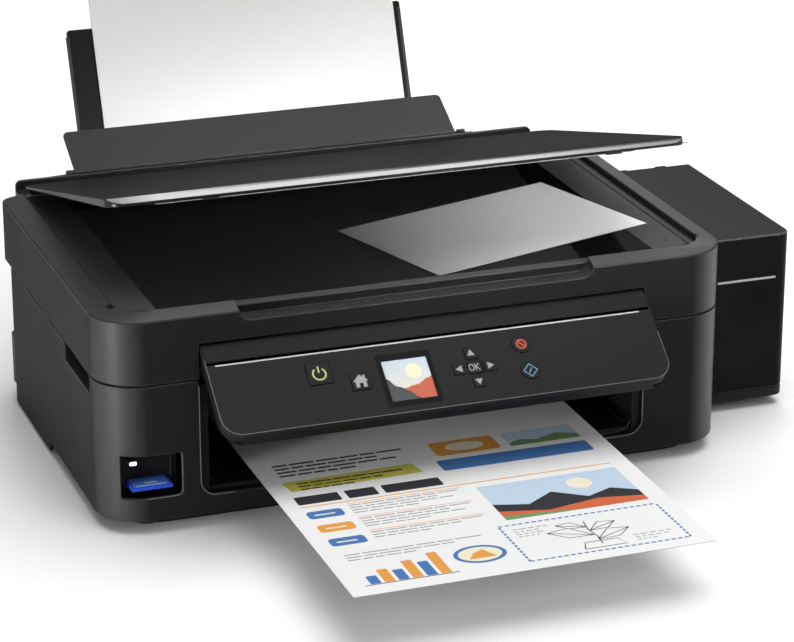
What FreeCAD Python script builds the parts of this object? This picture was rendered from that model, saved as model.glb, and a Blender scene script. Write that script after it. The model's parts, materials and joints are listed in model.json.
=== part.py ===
"""An inkjet printer with a side ink tank, built from one sheet of sizes.

X runs to the right, Y to the back and Z up, in millimetres. The origin is at
table height under the middle of the whole machine with its paper in place.
Formulas below count x from the middle of the case and y from its front face.
"""
import FreeCAD, Part
import Sketcher
import math
import os
import re

SIZES = {
    # paper, which sets the width of the machine
    "paper_wide": 210,
    "paper_long": 297,
    "paper_shift": -1.5,
    "paper_lean": 21.3,
    "paper_foot_in": 15.2,
    "paper_foot_z": 62,
    "stack_thick": 1,
    "print_shift": -4,
    "print_z": 33,
    "print_thick": 0.25,
    "print_tail": 115,
    # case
    "side_room": 90,
    "base_deep": 231,
    "scan_over": 16,
    "part_line": 91.4,
    "seam": 0.6,
    "face_top": 130.3,
    "rim_top": 134,
    "corner": 28,
    "rear_corner": 9,
    "wall": 2.6,
    "gap": 0.3,
    "play": 0.08,
    "skirt_low": 2,
    "sill_low": 8.6,
    "skirt_from": 136,
    # base pan and feet
    "foot_tall": 3,
    "foot_round": 9,
    "foot_in": 30,
    "foot_front": 25,
    "foot_rear": 26,
    "plinth_inset": 11,
    "plinth_front": 9,
    "deck_low": 9,
    "deck_top": 11.5,
    "boss_wall": 2,
    "screw_in": 60,
    "screw_head": 3.5,
    "screw_shank": 1.6,
    "screw_sunk": 2.2,
    "screw_deep": 0.4,
    # front opening, card recess, side grip
    "tunnel_room": 27.5,
    "slot_lip": 5.8,
    "slot_low": 20,
    "slot_corner": 9.5,
    "card_in": 11,
    "card_wide": 35,
    "card_low": 23,
    "card_high": 49,
    "card_gap": 3,
    "reader_front": 14,
    "reader_deep": 28,
    "reader_wall": 3,
    "grip_front": 29,
    "grip_back": 86,
    "grip_low": 80.5,
    "grip_deep": 7,
    # memory card
    "sd_in": 5,
    "sd_wide": 24,
    "sd_long": 32,
    "sd_thick": 2.1,
    "sd_low": 28,
    "sd_out": -1,
    "sd_room": 0.8,
    "sd_play": 0.5,
    # power unit at the back
    "unit_in": 7,
    "unit_wide": 34,
    "unit_top": 39,
    "unit_gap": 3,
    "unit_cover_grow": 4,
    "unit_cover_low": 8,
    "unit_cover_out": 2,
    "unit_corner": 6,
    "inlet_in": 14,
    "inlet_wide": 12,
    "inlet_low": 19,
    "inlet_high": 27,
    "inlet_deep": 10,
    # scanner unit
    "rim_side": 14,
    "rim_front": 9,
    "rim_back": 6,
    "bed_z": 130,
    "bed_thick": 5,
    "bed_in_left": 0.5,
    "bed_in_right": 0.5,
    "bed_front": 10,
    "bed_rear": -1,
    "bed_corner": 16,
    "glass_left": -157,
    "glass_right": 151,
    "glass_front": 18,
    "glass_rear": 19,
    "glass_thick": 3,
    "glass_sunk": 0.1,
    "glass_ledge": 4,
    "well_front": 19,
    "well_corner": 12,
    "pan_thick": 2.5,
    "pan_corner": 14,
    "notch_left": -113,
    "notch_right": 104,
    "notch_low": 124.5,
    "notch_corner": 6,
    "panel_gap_top": 113.5,
    "panel_gap_deep": 16,
    "front_wall": 5,
    "side_wall": 15,
    "scan_hinge_out": 5,
    "scan_axis_z": 120,
    "scan_ear_in": 35,
    "scan_ear_wide": 10,
    "scan_pin_long": 6.5,
    "knuckle": 4.6,
    "hinge_pin": 2.5,
    "scan_rail": 4,
    "scan_rail_y": 124,
    "scan_rail_z": 104,
    "rail_post_in": 8,
    "rail_post_wide": 6,
    "bar_in": 18,
    "bar_wide": 18,
    "bar_front": 24,
    "bar_rear": 23,
    "bar_shoe": 11,
    "photo_long": 160,
    "photo_wide": 102,
    "photo_thick": 0.3,
    "photo_x": 75.6,
    "photo_y": 89.5,
    "photo_turn": 16.9,
    # lid
    "lid_hinge_out": 13,
    "lid_axis_z": 126,
    "lid_in": 16,
    "lid_front": 24,
    "lid_rear": 9,
    "lid_low": 131.5,
    "lid_thick": 5,
    "lid_rest": 14,
    "lid_corner": 12,
    "lid_bevel": 10,
    "mat_low": 130.6,
    "mat_in": 7,
    "lid_arm_in": 55.4,
    "lid_arm_wide": 6.4,
    "lid_ear_wide": 7,
    # control panel
    "panel_lap": 4.5,
    "panel_axis_y": 0.5,
    "panel_axis_z": 102,
    "panel_rest": 51.6,
    "panel_face": -7,
    "panel_skin": 2.5,
    "panel_top": 7.5,
    "panel_low": -53.5,
    "panel_corner": 12,
    "shell_gap": 0.5,
    "shell_back": 5.5,
    "shell_inset": 3,
    "shell_rim": 1.6,
    "shell_wall": 2,
    "shell_pin": 4.3,
    "post_round": 2.2,
    "ear_round": 4.2,
    "ear_wide": 4,
    "ear_gap": 0.1,
    "ear_foot": 24,
    "ear_back": 14,
    "ear_post": 7,
    "screen_left": -38,
    "screen_right": -6,
    "screen_low": -47.2,
    "screen_high": -14.5,
    "screen_sunk": 0.4,
    "board_left": -96,
    "board_right": 68,
    "board_high": -8,
    "board_front": -1.6,
    "board_thick": 1.6,
    "key_proud": 0.5,
    "key_lip": 0.6,
    "key_back": 0.8,
    "key_home_size": 11,
    "key_power_size": 14,
    "key_arrow_size": 7,
    "key_ok_size": 8,
    "key_round": 5.5,
    "power_x": -73.3,
    "power_z": -21,
    "home_x": -50.7,
    "home_z": -29.5,
    "pad_x": 18.7,
    "pad_z": -30.2,
    "pad_step": 9.6,
    "stop_x": 50.8,
    "stop_z": -19.1,
    "start_x": 51.2,
    "start_z": -37,
    # output frame and tray
    "frame_back": 88,
    "frame_top": 88,
    "frame_skin": 3,
    "tray_thick": 3,
    "tray_front": 4,
    "tray_back": 84,
    "tray_lip": 4,
    "tray_pull": 60,
    "rib_wide": 2,
    # rear feeder
    "tower_in_left": 17,
    "tower_in_right": 18,
    "tower_gap": 28,
    "tower_top": 131,
    "tower_wall": 4,
    "tower_fall": 16,
    "tower_cheek": 8,
    "tower_skin": 3,
    "tower_corner": 4,
    "throat_room_left": 30.5,
    "throat_room_right": 24.5,
    "chute_room_left": 11,
    "chute_room_right": 22,
    "chute_top": 88,
    "chute_low": 12,
    "chute_out": 25,
    "chute_ramp": 31,
    "tongue_front": 166,
    "tongue_thick": 4,
    "flap_in": 11,
    "flap_z": 127.5,
    "flap_gap": 1,
    "flap_long": 38,
    "flap_thick": 2.4,
    "flap_rest": 29,
    "flap_pin": 1.5,
    "flap_eye": 3.5,
    "flap_root": 2.5,
    "flap_corner": 3.5,
    "pin_long": 3.5,
    "support_room_left": 16.5,
    "support_room_right": 5.5,
    "support_front": 1.5,
    "support_thick": 4,
    "support_low": 40,
    "support_high": 156,
    "support_corner": 2,
    "guide_low": 26,
    "guide_high": 66,
    "pickup_round": 10,
    "pickup_shaft": 3,
    "pickup_up": 16,
    # print works
    "plate_in_left": 23,
    "plate_in_right": 27,
    "plate_thick": 2,
    "plate_front": 70,
    "plate_rear": 40,
    "exit_y": 100,
    "feed_y": 155,
    "roll_round": 7,
    "feed_shaft": 4,
    "exit_shaft": 3,
    "roll_over": 6,
    "tyre_half": 8,
    "pinch_round": 4,
    "pinch_shaft": 2,
    "pinch_half": 14,
    "pinch_over": 14,
    "pinch_arm": 3,
    "gear_out": 10,
    "gear_wide": 6,
    "module": 0.8,
    "drive_teeth": 28,
    "transfer_teeth": 44,
    "pinion_teeth": 12,
    "stud": 2.5,
    "pinion_shaft": 1.5,
    "feed_motor_round": 11,
    "feed_motor_long": 30,
    "rail_y": 163,
    "rail_thick": 2,
    "rail_low": 45,
    "rail_top": 86,
    "belt_z": 66,
    "belt_front": 157,
    "belt_wide": 4,
    "pulley_room": 25,
    "pulley_round": 6,
    "pulley_shaft": 2,
    "belt_thick": 1,
    "carriage_motor_round": 13,
    "carriage_motor_long": 18,
    "park_room": 24,
    "carriage_half": 30,
    "carriage_front": 108,
    "carriage_back": 150,
    "carriage_low": 38,
    "carriage_top": 84,
    "carriage_wall": 2.5,
    "hook_grip": 6,
    "hook_over": 3,
    "head_drop": 2,
    "head_in": 4,
    "platen_wall": 3,
    "main_board_left": 20,
    "main_board_right": 150,
    "main_board_deep": 51,
    "main_board_back": 5,
    "board_post": 3,
    "chip": 18,
    "chip_first": 24,
    "chip_step": 32,
    # ink tank unit
    "tank_gap": 1.4,
    "tank_wide": 67.6,
    "tank_front": 58,
    "tank_deep": 157,
    "tank_low": 6.5,
    "tank_base": 12,
    "tank_top": 115,
    "tank_wall": 2.5,
    "tank_corner": 8,
    "tank_axis_back": 3.25,
    "tank_axis_down": 6,
    "tank_knuckle": 8,
    "tank_hook_low": 60,
    "tank_hook_high": 72,
    "ink_in_left": 6.6,
    "ink_in_right": 9,
    "ink_wide": 33,
    "ink_step": 36.5,
    "ink_first": 6,
    "ink_top": 80,
    "ink_wall": 2,
    "neck_tall": 6,
    "neck_round": 7,
    "neck_bore": 4.2,
    "cap_round": 9,
    "cap_tall": 8,
    "tube_round": 2,
    "tube_room": 0.8,
    "tube_z": 22,
    "manifold_thick": 5,
}

# Places that follow from the sizes.
PLACES = {
    "half": "paper_wide / 2 + side_room",
    "mid_x": "-(tank_gap + tank_wide) / 2",
    "paper_left": "paper_shift - paper_wide / 2",
    "paper_right": "paper_left + paper_wide",
    "print_left": "print_shift - paper_wide / 2",
    "print_right": "print_left + paper_wide",
    "print_reach": "paper_long - print_tail",
    "paper_foot_y": "tower_front + paper_foot_in",
    "paper_back": "paper_foot_y + paper_long * sin(paper_lean) + stack_thick * cos(paper_lean)",
    "front_y": "(print_reach - paper_back) / 2",
    "scan_deep": "base_deep + scan_over",
    "scan_low": "part_line + seam",
    "foot_x": "half - foot_in",
    "foot_back": "base_deep - foot_rear",
    "tunnel_half": "paper_wide / 2 + tunnel_room",
    "slot_half": "tunnel_half + slot_lip",
    "card_left": "card_in - half",
    "card_right": "card_left + card_wide",
    "frame_half": "-card_right - card_gap",
    "sd_left": "card_left + sd_in",
    "sd_high": "sd_low + sd_thick",
    "unit_left": "unit_in - half",
    "unit_right": "unit_in + unit_wide - half",
    "inlet_left": "inlet_in - half",
    "bed_left": "rim_side + bed_in_left - half",
    "bed_right": "half - rim_side - bed_in_right",
    "bed_back": "scan_deep - bed_rear",
    "glass_back": "scan_deep - glass_rear",
    "bar_left": "bar_in - half",
    "bar_back": "scan_deep - bar_rear",
    "scan_axis_y": "scan_deep + scan_hinge_out",
    "scan_ear_x": "half - scan_ear_in",
    "scan_ear_end": "scan_ear_x + scan_ear_wide",
    "lid_axis_y": "scan_deep + lid_hinge_out",
    "lid_half": "half - lid_in",
    "lid_back": "lid_axis_y - lid_rear",
    "lid_arm_x": "half - lid_arm_in",
    "lid_arm_end": "lid_arm_x + lid_arm_wide",
    "lid_hi": "lid_low + lid_thick - lid_axis_z",
    "lid_lo": "lid_low - lid_axis_z",
    "panel_half": "tunnel_half + panel_lap",
    "panel_gap_half": "panel_half + gap * 2",
    "shell_half": "tunnel_half - shell_gap",
    "skin_back": "panel_face + panel_skin",
    "board_back": "board_front + board_thick",
    "tray_low": "slot_low + gap * 3",
    "tower_left": "tower_in_left - half",
    "tower_right": "half - tower_in_right",
    "tower_front": "scan_deep + tower_gap",
    "throat_left": "paper_left - throat_room_left",
    "throat_right": "paper_right + throat_room_right",
    "chute_left": "throat_left - chute_room_left",
    "chute_right": "throat_right + chute_room_right",
    "chute_back": "tower_front + chute_out",
    "ramp_y": "base_deep + chute_ramp",
    "tower_rear": "tower_top - tower_fall",
    "flap_y": "tower_front + flap_in",
    "flap_left": "throat_left + flap_gap",
    "flap_right": "throat_right - flap_gap",
    "support_left": "paper_left - support_room_left",
    "support_right": "paper_right + support_room_right",
    "support_back": "support_front + support_thick",
    "wall_back": "(support_back + gap * 2 + 0.1) / cos(paper_lean)",
    "pickup_y": "paper_foot_y - (pickup_round + gap) * cos(paper_lean) + pickup_up * sin(paper_lean)",
    "pickup_z": "paper_foot_z + (pickup_round + gap) * sin(paper_lean) + pickup_up * cos(paper_lean)",
    "plate_left": "plate_in_left - half",
    "plate_right": "half - plate_in_right",
    "plate_end": "plate_right + plate_thick",
    "plate_back": "feed_y + plate_rear",
    "unit_front": "plate_back + unit_gap",
    "gear_left": "plate_left - gear_out",
    "roll_z": "print_z - gap - roll_round",
    "pinch_z": "print_z + print_thick + gap + pinch_round",
    "mesh_reach": "module * (drive_teeth + transfer_teeth) / 2",
    "transfer_y": "(exit_y + feed_y) / 2",
    "transfer_z": "roll_z + sqrt(mesh_reach ^ 2 - (feed_y - transfer_y) ^ 2)",
    "pinion_y": "feed_y + module * (drive_teeth + pinion_teeth) / 2",
    "rail_end": "rail_y + rail_thick",
    "belt_back": "belt_front + belt_wide",
    "carriage_x": "print_right + park_room",
    "pulley_x": "carriage_x + pulley_room",
    "head_low": "carriage_low - head_drop",
    "main_board_end": "base_deep - main_board_back",
    "main_board_front": "main_board_end - main_board_deep",
    "tank_left": "half + tank_gap",
    "tank_right": "half + tank_gap + tank_wide",
    "tank_back": "tank_front + tank_deep",
    "tank_axis_y": "tank_back - tank_axis_back",
    "tank_axis_z": "tank_top - tank_axis_down",
    "ink_left": "tank_left + ink_in_left",
    "ink_right": "tank_right - ink_in_right",
    "cap_low": "ink_top + neck_tall + gap",
}

doc = FreeCAD.newDocument("printer")
sheet = doc.addObject("Spreadsheet::Sheet", "dims")
for row, (name, size) in enumerate(SIZES.items(), 1):
    sheet.set("A%d" % row, str(size))
    sheet.setAlias("A%d" % row, name)
doc.recompute()


def spell(text):
    """A formula with its names written as cells of the sheet."""
    def word(match):
        name = match.group(0)
        if name in PLACES:
            return "(" + spell(PLACES[name]) + ")"
        return "dims." + name if name in SIZES else name
    return re.sub(r"[A-Za-z_]\w*", word, str(text))


def num(text):
    """What a formula comes to."""
    return float(sheet.evalExpression(spell(text)))


def bind(part, prop, text):
    part.setExpression(prop, spell(text))


def put(part, x="0", y="0", z="0", loose=False):
    """Place a part; a loose one is placed later with its assembly."""
    bind(part, "Placement.Base.x", x if loose else "mid_x + (%s)" % x)
    bind(part, "Placement.Base.y", y if loose else "front_y + (%s)" % y)
    bind(part, "Placement.Base.z", z)


def seat(part, y, z, turn, tip):
    """Stand a loose part on its axis, turned about X; tip 1 or -1 says which way."""
    turned = FreeCAD.Rotation(FreeCAD.Vector(tip, 0, 0), 0)
    part.Placement = FreeCAD.Placement(FreeCAD.Vector(), turned)
    put(part, "0", y, z)
    bind(part, "Placement.Rotation.Angle", turn)
    return part


def box(name, x, y, z, loose=False):
    """A block between three pairs of formulas."""
    part = doc.addObject("Part::Box", name)
    for prop, (low, high) in zip(("Length", "Width", "Height"), (x, y, z)):
        bind(part, prop, "(%s) - (%s)" % (high, low))
    put(part, x[0], y[0], z[0], loose)
    return part


def mirrored(side, low, high):
    """A span of x on the right side, or its mirror image on the left."""
    return (low, high) if side > 0 else ("-(%s)" % high, "-(%s)" % low)


ALONG = {
    "x": FreeCAD.Rotation(FreeCAD.Vector(0, 1, 0), 90),
    "y": FreeCAD.Rotation(FreeCAD.Vector(1, 0, 0), -90),
    "z": FreeCAD.Rotation(),
}


def rod(name, axis, at, radius, ends, loose=False):
    """A cylinder along an axis; at holds the two other coordinates."""
    part = doc.addObject("Part::Cylinder", name)
    bind(part, "Radius", radius)
    bind(part, "Height", "(%s) - (%s)" % (ends[1], ends[0]))
    part.Placement = FreeCAD.Placement(FreeCAD.Vector(), ALONG[axis])
    spot = list(at)
    spot.insert("xyz".index(axis), ends[0])
    put(part, *spot, loose=loose)
    return part


def join(name, *pieces):
    part = doc.addObject("Part::MultiFuse", name)
    part.Shapes = list(pieces)
    part.Refine = True
    return part


def group(name, *pieces):
    """Pieces of one node that stay separate solids."""
    part = doc.addObject("Part::Compound", name)
    part.Links = list(pieces)
    return part


def cut(name, base, *tools):
    part = doc.addObject("Part::Cut", name)
    part.Base = base
    part.Tool = tools[0] if len(tools) == 1 else join(name + "_tools", *tools)
    return part


def common(name, one, other):
    part = doc.addObject("Part::Common", name)
    part.Base = one
    part.Tool = other
    return part


def heading(edge):
    """The direction of a straight edge."""
    return edge.Vertexes[-1].Point.sub(edge.Vertexes[0].Point).normalize()


def rounded(name, base, radius, pick):
    """Round the straight edges that pick accepts."""
    doc.recompute()
    part = doc.addObject("Part::Fillet", name)
    part.Base = base
    size = num(radius)
    middle = base.Shape.BoundBox.Center
    part.Edges = [
        (n, size, size)
        for n, edge in enumerate(base.Shape.Edges, 1)
        if len(edge.Vertexes) == 2 and pick(heading(edge), edge.CenterOfMass.sub(middle))
    ]
    return part


def slab(name, x, y, z, front, rear, loose=False):
    """A block with upright corners rounded, front and rear apart."""
    block = box(name + "_block", x, y, z, loose)
    doc.recompute()
    part = doc.addObject("Part::Fillet", name)
    part.Base = block
    middle = block.Shape.CenterOfMass.y
    part.Edges = [
        (n, num(front), num(front)) if edge.CenterOfMass.y < middle else (n, num(rear), num(rear))
        for n, edge in enumerate(block.Shape.Edges, 1)
        if abs(heading(edge).z) > 0.9
    ]
    return part


def prism(name, outline, x, loose=False):
    """A side outline in y and z, padded along X."""
    body = doc.addObject("PartDesign::Body", name)
    plane = [one for one in body.Origin.OriginFeatures if one.Role == "YZ_Plane"][0]
    sketch = body.newObject("Sketcher::SketchObject", name + "_outline")
    sketch.AttachmentSupport = [(plane, "")]
    sketch.MapMode = "FlatFace"
    spots = [FreeCAD.Vector(num(y), num(z), 0) for y, z in outline]
    count = len(spots)
    for n in range(count):
        sketch.addGeometry(Part.LineSegment(spots[n], spots[(n + 1) % count]), False)
    for n in range(count):
        sketch.addConstraint(Sketcher.Constraint("Coincident", n, 2, (n + 1) % count, 1))
    for n, (y, z) in enumerate(outline):
        for kind, text in (("DistanceX", y), ("DistanceY", z)):
            index = sketch.addConstraint(Sketcher.Constraint(kind, -1, 1, n, 1, num(text)))
            bind(sketch, "Constraints[%d]" % index, text)
    pad = body.newObject("PartDesign::Pad", name + "_pad")
    pad.Profile = sketch
    bind(pad, "Length", "(%s) - (%s)" % (x[1], x[0]))
    put(body, x[0], "0", "0", loose)
    return body


def gear(name, teeth, bore, y, z, turn):
    """A spur gear along X, a tooth at angle turn from +Y; teeth are thinned for backlash."""
    count = int(num(teeth))
    mod = num("module")
    pitch = mod * count / 2
    base = pitch * math.cos(math.radians(20))
    root = pitch - 1.2 * mod
    tip = pitch + 0.8 * mod
    start = max(base, root)
    flat = math.tan(math.radians(20)) - math.radians(20)
    points = []
    for tooth in range(count):
        centre = turn + 2 * math.pi * tooth / count
        flank = []
        for step in range(5):
            radius = start + (tip - start) * step / 4
            press = math.acos(min(1, base / radius))
            thin = 0.1 * mod / pitch
            width = math.pi / (2 * count) - thin + flat - (math.tan(press) - press)
            flank.append((radius, width))
        if root < base:
            flank.insert(0, (root, flank[0][1]))
        for radius, width in flank:
            points.append((radius, centre - width))
        for radius, width in reversed(flank):
            points.append((radius, centre + width))
    ring = [FreeCAD.Vector(0, r * math.cos(a), r * math.sin(a)) for r, a in points]
    ring.append(ring[0])
    blank = Part.Face(Part.makePolygon(ring)).extrude(FreeCAD.Vector(num("gear_wide"), 0, 0))
    if bore:
        along = FreeCAD.Vector(1, 0, 0)
        start_at = FreeCAD.Vector(-1, 0, 0)
        blank = blank.cut(Part.makeCylinder(num(bore), num("gear_wide") + 2, start_at, along))
    part = doc.addObject("Part::Feature", name)
    part.Shape = blank
    put(part, "gear_left", y, z)
    return part


# Case: a walled ring, open above and below, with its openings cut out.
case_outer = slab("case_outer", ("-half", "half"), ("0", "base_deep"), ("skirt_low", "part_line"),
                  "corner", "rear_corner")
case_inner = slab("case_inner", ("wall - half", "half - wall"), ("wall", "base_deep - wall"),
                  ("skirt_low - 1", "part_line + 1"), "corner - wall", "rear_corner - wall")
case_ring = cut("case_ring", case_outer, case_inner)
grip_block = box("grip_block", ("wall - half - 0.1", "wall - half + grip_deep"),
                 ("grip_front - wall", "grip_back + wall"), ("grip_low - wall", "part_line"))
case_body = join("case_body", case_ring, grip_block)
sill = box("sill", ("-half - 1", "half + 1"), ("-1", "skirt_from"), ("skirt_low - 1", "sill_low"))
slot_block = box("slot_block", ("-slot_half", "slot_half"), ("-1", "wall + 1"), ("slot_low", "part_line * 2"))
slot = rounded("slot", slot_block, "slot_corner", lambda way, at: abs(way.y) > 0.9 and at.z < 0)
card_hole = box("card_hole", ("card_left", "card_right"), ("-1", "corner"), ("card_low", "card_high"))
grip = box("grip", ("-half - 1", "grip_deep - half"), ("grip_front", "grip_back"),
           ("grip_low", "part_line + 1"))
throat_hole = box("throat_hole", ("chute_left + wall", "chute_right - wall"),
                  ("base_deep - wall - 1", "base_deep + 1"), ("chute_low + wall * 2", "paper_foot_z"))
power_hole = box("power_hole", ("unit_left", "unit_right"), ("base_deep - rear_corner", "base_deep + 1"),
                 ("deck_top + gap", "unit_top"))
ink_spots = ["tank_front + ink_first + ink_step * %d" % n for n in range(4)]
tube_spots = ["%s + ink_wide / 2" % spot for spot in ink_spots]
tube_holes = [rod("tube_hole_%d" % n, "x", (y, "tube_z"), "tube_round + tube_room",
                  ("half - wall - 1", "half + 1")) for n, y in enumerate(tube_spots)]
cut("lower_case", case_body, sill, slot, card_hole, grip, throat_hole, power_hole, *tube_holes)

# Base pan: an inset plinth under a deck that meets the case walls.
plinth = slab("plinth", ("plinth_inset - half", "half - plinth_inset"),
              ("plinth_front", "base_deep - plinth_front"), ("foot_tall", "deck_low"),
              "corner", "rear_corner")
deck = slab("deck", ("wall - half", "half - wall"), ("wall", "base_deep - wall"), ("deck_low", "deck_top"),
            "corner + wall * 2", "rear_corner + wall * 2")
plinth_hollow = slab("plinth_hollow", ("plinth_inset + wall - half", "half - plinth_inset - wall"),
                     ("plinth_front + wall", "base_deep - plinth_front - wall"),
                     ("foot_tall - 1", "(deck_low + deck_top) / 2 - 0.75"),
                     "corner - wall", "rear_corner - wall")
plinth_ring = cut("plinth_ring", plinth, plinth_hollow)
foot_spots = [(x, y) for x in ("-foot_x", "foot_x") for y in ("foot_front", "foot_back")]
screw_rows = ("screw_in - half", "0", "half - screw_in")
screw_spots = [(x, y) for x in screw_rows for y in ("foot_front", "foot_back")]
boss_ends = ("foot_tall", "(deck_low + deck_top) / 2")
bosses = [rod("foot_boss_%d" % n, "z", spot, "foot_round + boss_wall", boss_ends)
          for n, spot in enumerate(foot_spots)]
bosses += [rod("screw_boss_%d" % n, "z", spot, "screw_head + boss_wall + 1", boss_ends)
           for n, spot in enumerate(screw_spots)]
pan_block = join("pan_block", plinth_ring, deck, *bosses)
sinks = []
screws = []
for n, (x, y) in enumerate(screw_spots):
    seat_z = "foot_tall + screw_sunk"
    sinks.append(rod("sink_%d" % n, "z", (x, y), "screw_head + 0.5", ("foot_tall - 1", seat_z)))
    sinks.append(rod("hole_%d" % n, "z", (x, y), "screw_shank + 0.1", ("foot_tall", "deck_low + 1")))
    head = rod("head_%d" % n, "z", (x, y), "screw_head", ("foot_tall + screw_deep", seat_z))
    shank = rod("shank_%d" % n, "z", (x, y), "screw_shank", ("foot_tall + screw_deep", "deck_low + 0.5"))
    screws.append(join("screw_%d" % n, head, shank))
cut("base_pan", pan_block, *sinks)
group("case_screws", *screws)
feet = [rod("foot_%d" % n, "z", spot, "foot_round", ("0", "foot_tall")) for n, spot in enumerate(foot_spots)]
group("rubber_feet", *feet)

# Card reader, kept inside the rounded corner of the case, and its card.
reader_x = ("card_left + reader_wall", "card_right - reader_wall")
reader_back = "reader_front + reader_deep"
reader_block = box("reader_block", ("card_left", "card_right"), ("reader_front", reader_back),
                   ("deck_top", "card_high + reader_wall"))
card_slot = box("card_slot", ("sd_left - sd_room", "sd_left + sd_wide + sd_room"),
                ("reader_front - 1", "sd_long - sd_out + 1"), ("sd_low - sd_play", "sd_high + sd_play"))
reader_under = box("reader_under", reader_x, ("reader_front + reader_wall", reader_back + " - reader_wall"),
                   ("deck_top - 1", "sd_low - sd_play - reader_wall - 0.5"))
reader_rear = box("reader_rear", reader_x, ("reader_front + reader_wall", reader_back + " + 1"),
                  ("sd_high + sd_play + reader_wall + 0.5", "card_high"))
cut("card_reader", common("reader_room", reader_block, case_inner), card_slot, reader_under, reader_rear)
box("memory_card", ("sd_left", "sd_left + sd_wide"), ("-sd_out", "sd_long - sd_out"), ("sd_low", "sd_high"))

# Power unit: a box through the back wall with its bulged cover and inlet.
cover_back = "scan_deep + unit_cover_out"
unit_box = box("unit_box", ("unit_left + gap", "unit_right - gap"),
               ("unit_front", "base_deep + 1"), ("deck_top + gap * 2", "unit_top - gap"))
unit_cover = slab("unit_cover", ("unit_left - unit_cover_grow", "unit_right + unit_cover_grow"),
                  ("base_deep", cover_back), ("unit_cover_low", "unit_top + 2"), "1", "unit_corner")
unit_body = join("unit_body", unit_box, unit_cover)
inlet = box("inlet", ("inlet_left", "inlet_left + inlet_wide"),
            (cover_back + " - inlet_deep", cover_back + " + 1"), ("inlet_low", "inlet_high"))
cut("power_unit", unit_body, inlet)

# Output frame: a tunnel with tray lips and two ears for the control panel.
frame_block = box("frame_block", ("-frame_half", "frame_half"), ("wall", "frame_back"),
                  ("deck_top", "frame_top"))
tunnel_block = box("tunnel_block", ("-tunnel_half", "tunnel_half"), ("-1", "frame_back + 1"),
                   ("slot_low", "frame_top * 2"))
frame_shell = cut("frame_shell", frame_block, tunnel_block)
ears = []
ear_holes = []
wall_hollows = []
pivot = ("panel_axis_y", "panel_axis_z")
for side, tag in ((-1, "left"), (1, "right")):
    span = mirrored(side, "tunnel_half + ear_gap", "tunnel_half + ear_gap + ear_wide")
    through = mirrored(side, "tunnel_half - 1", "tunnel_half + ear_wide + 1")
    ears.append(rod("ear_round_" + tag, "x", pivot, "ear_round", span))
    ears.append(box("ear_arm_" + tag, span, ("panel_axis_y", "ear_back"),
                    ("panel_axis_z - ear_round", "panel_axis_z + ear_round")))
    ears.append(box("ear_post_" + tag, span, ("ear_back - ear_post", "ear_back"),
                    ("frame_top - ear_foot", "panel_axis_z")))
    lip = mirrored(side, "tunnel_half - tray_lip", "tunnel_half + 1")
    ears.append(box("lip_" + tag, lip, ("tray_front + 6", "frame_back"),
                    ("tray_low + tray_thick + gap", "tray_low + tray_thick + gap * 9")))
    ear_holes.append(rod("ear_hole_" + tag, "x", pivot, "hinge_pin + play", through))
    hollow = mirrored(side, "tunnel_half + frame_skin", "frame_half - frame_skin")
    wall_hollows.append(box("wall_hollow_" + tag, hollow, ("wall + 14", "frame_back - frame_skin"),
                            ("deck_top - 1", "frame_top - frame_skin")))
floor_hollow = box("floor_hollow", ("4 - tunnel_half", "tunnel_half - 4"),
                   ("wall + frame_skin", "frame_back - frame_skin"), ("deck_top - 1", "slot_low - 2.5"))
cut("output_frame", join("frame_body", frame_shell, *ears), *ear_holes, floor_hollow, *wall_hollows)
tray_plate = box("tray_plate", ("gap - tunnel_half", "tunnel_half - gap"), ("tray_front", "tray_back"),
                 ("tray_low", "tray_low + tray_thick"))
tray_pull = box("tray_pull", ("-tray_pull", "tray_pull"), ("tray_front", "tray_front + 2.5"),
                ("tray_low", "tray_low + tray_thick + 4.7"))
rib_spots = ["tray_pull * %g" % share for share in (-1.5, -0.5, 0.5, 1.5)]
tray_ribs = [box("tray_rib_%d" % n, ("%s - rib_wide / 2" % x, "%s + rib_wide / 2" % x),
                 ("tray_front", "tray_back - 4"), ("tray_low + 1", "tray_low + tray_thick + 1.3"))
             for n, x in enumerate(rib_spots)]
join("output_tray", tray_plate, tray_pull, *tray_ribs)

# Scanner case: a deep rim around a bed with a window for the glass.
def outline(x, y, z, front, rear):
    """A rounded rectangle as a wire."""
    (left, right), (near, back) = x, y
    wire = []
    ends = [(left, back, rear, 90), (left, near, front, 180)]
    ends += [(right, near, front, 270), (right, back, rear, 0)]
    arcs = []
    for px, py, r, start in ends:
        cx = px + r if px == left else px - r
        cy = py + r if py == near else py - r
        turn = [math.radians(start + step) for step in (0, 45, 90)]
        arcs.append([FreeCAD.Vector(cx + r * math.cos(t), cy + r * math.sin(t), z) for t in turn])
    for n, arc in enumerate(arcs):
        wire.append(Part.Arc(*arc).toShape())
        wire.append(Part.LineSegment(arc[2], arcs[(n + 1) % 4][0]).toShape())
    return Part.Wire(wire)


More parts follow.
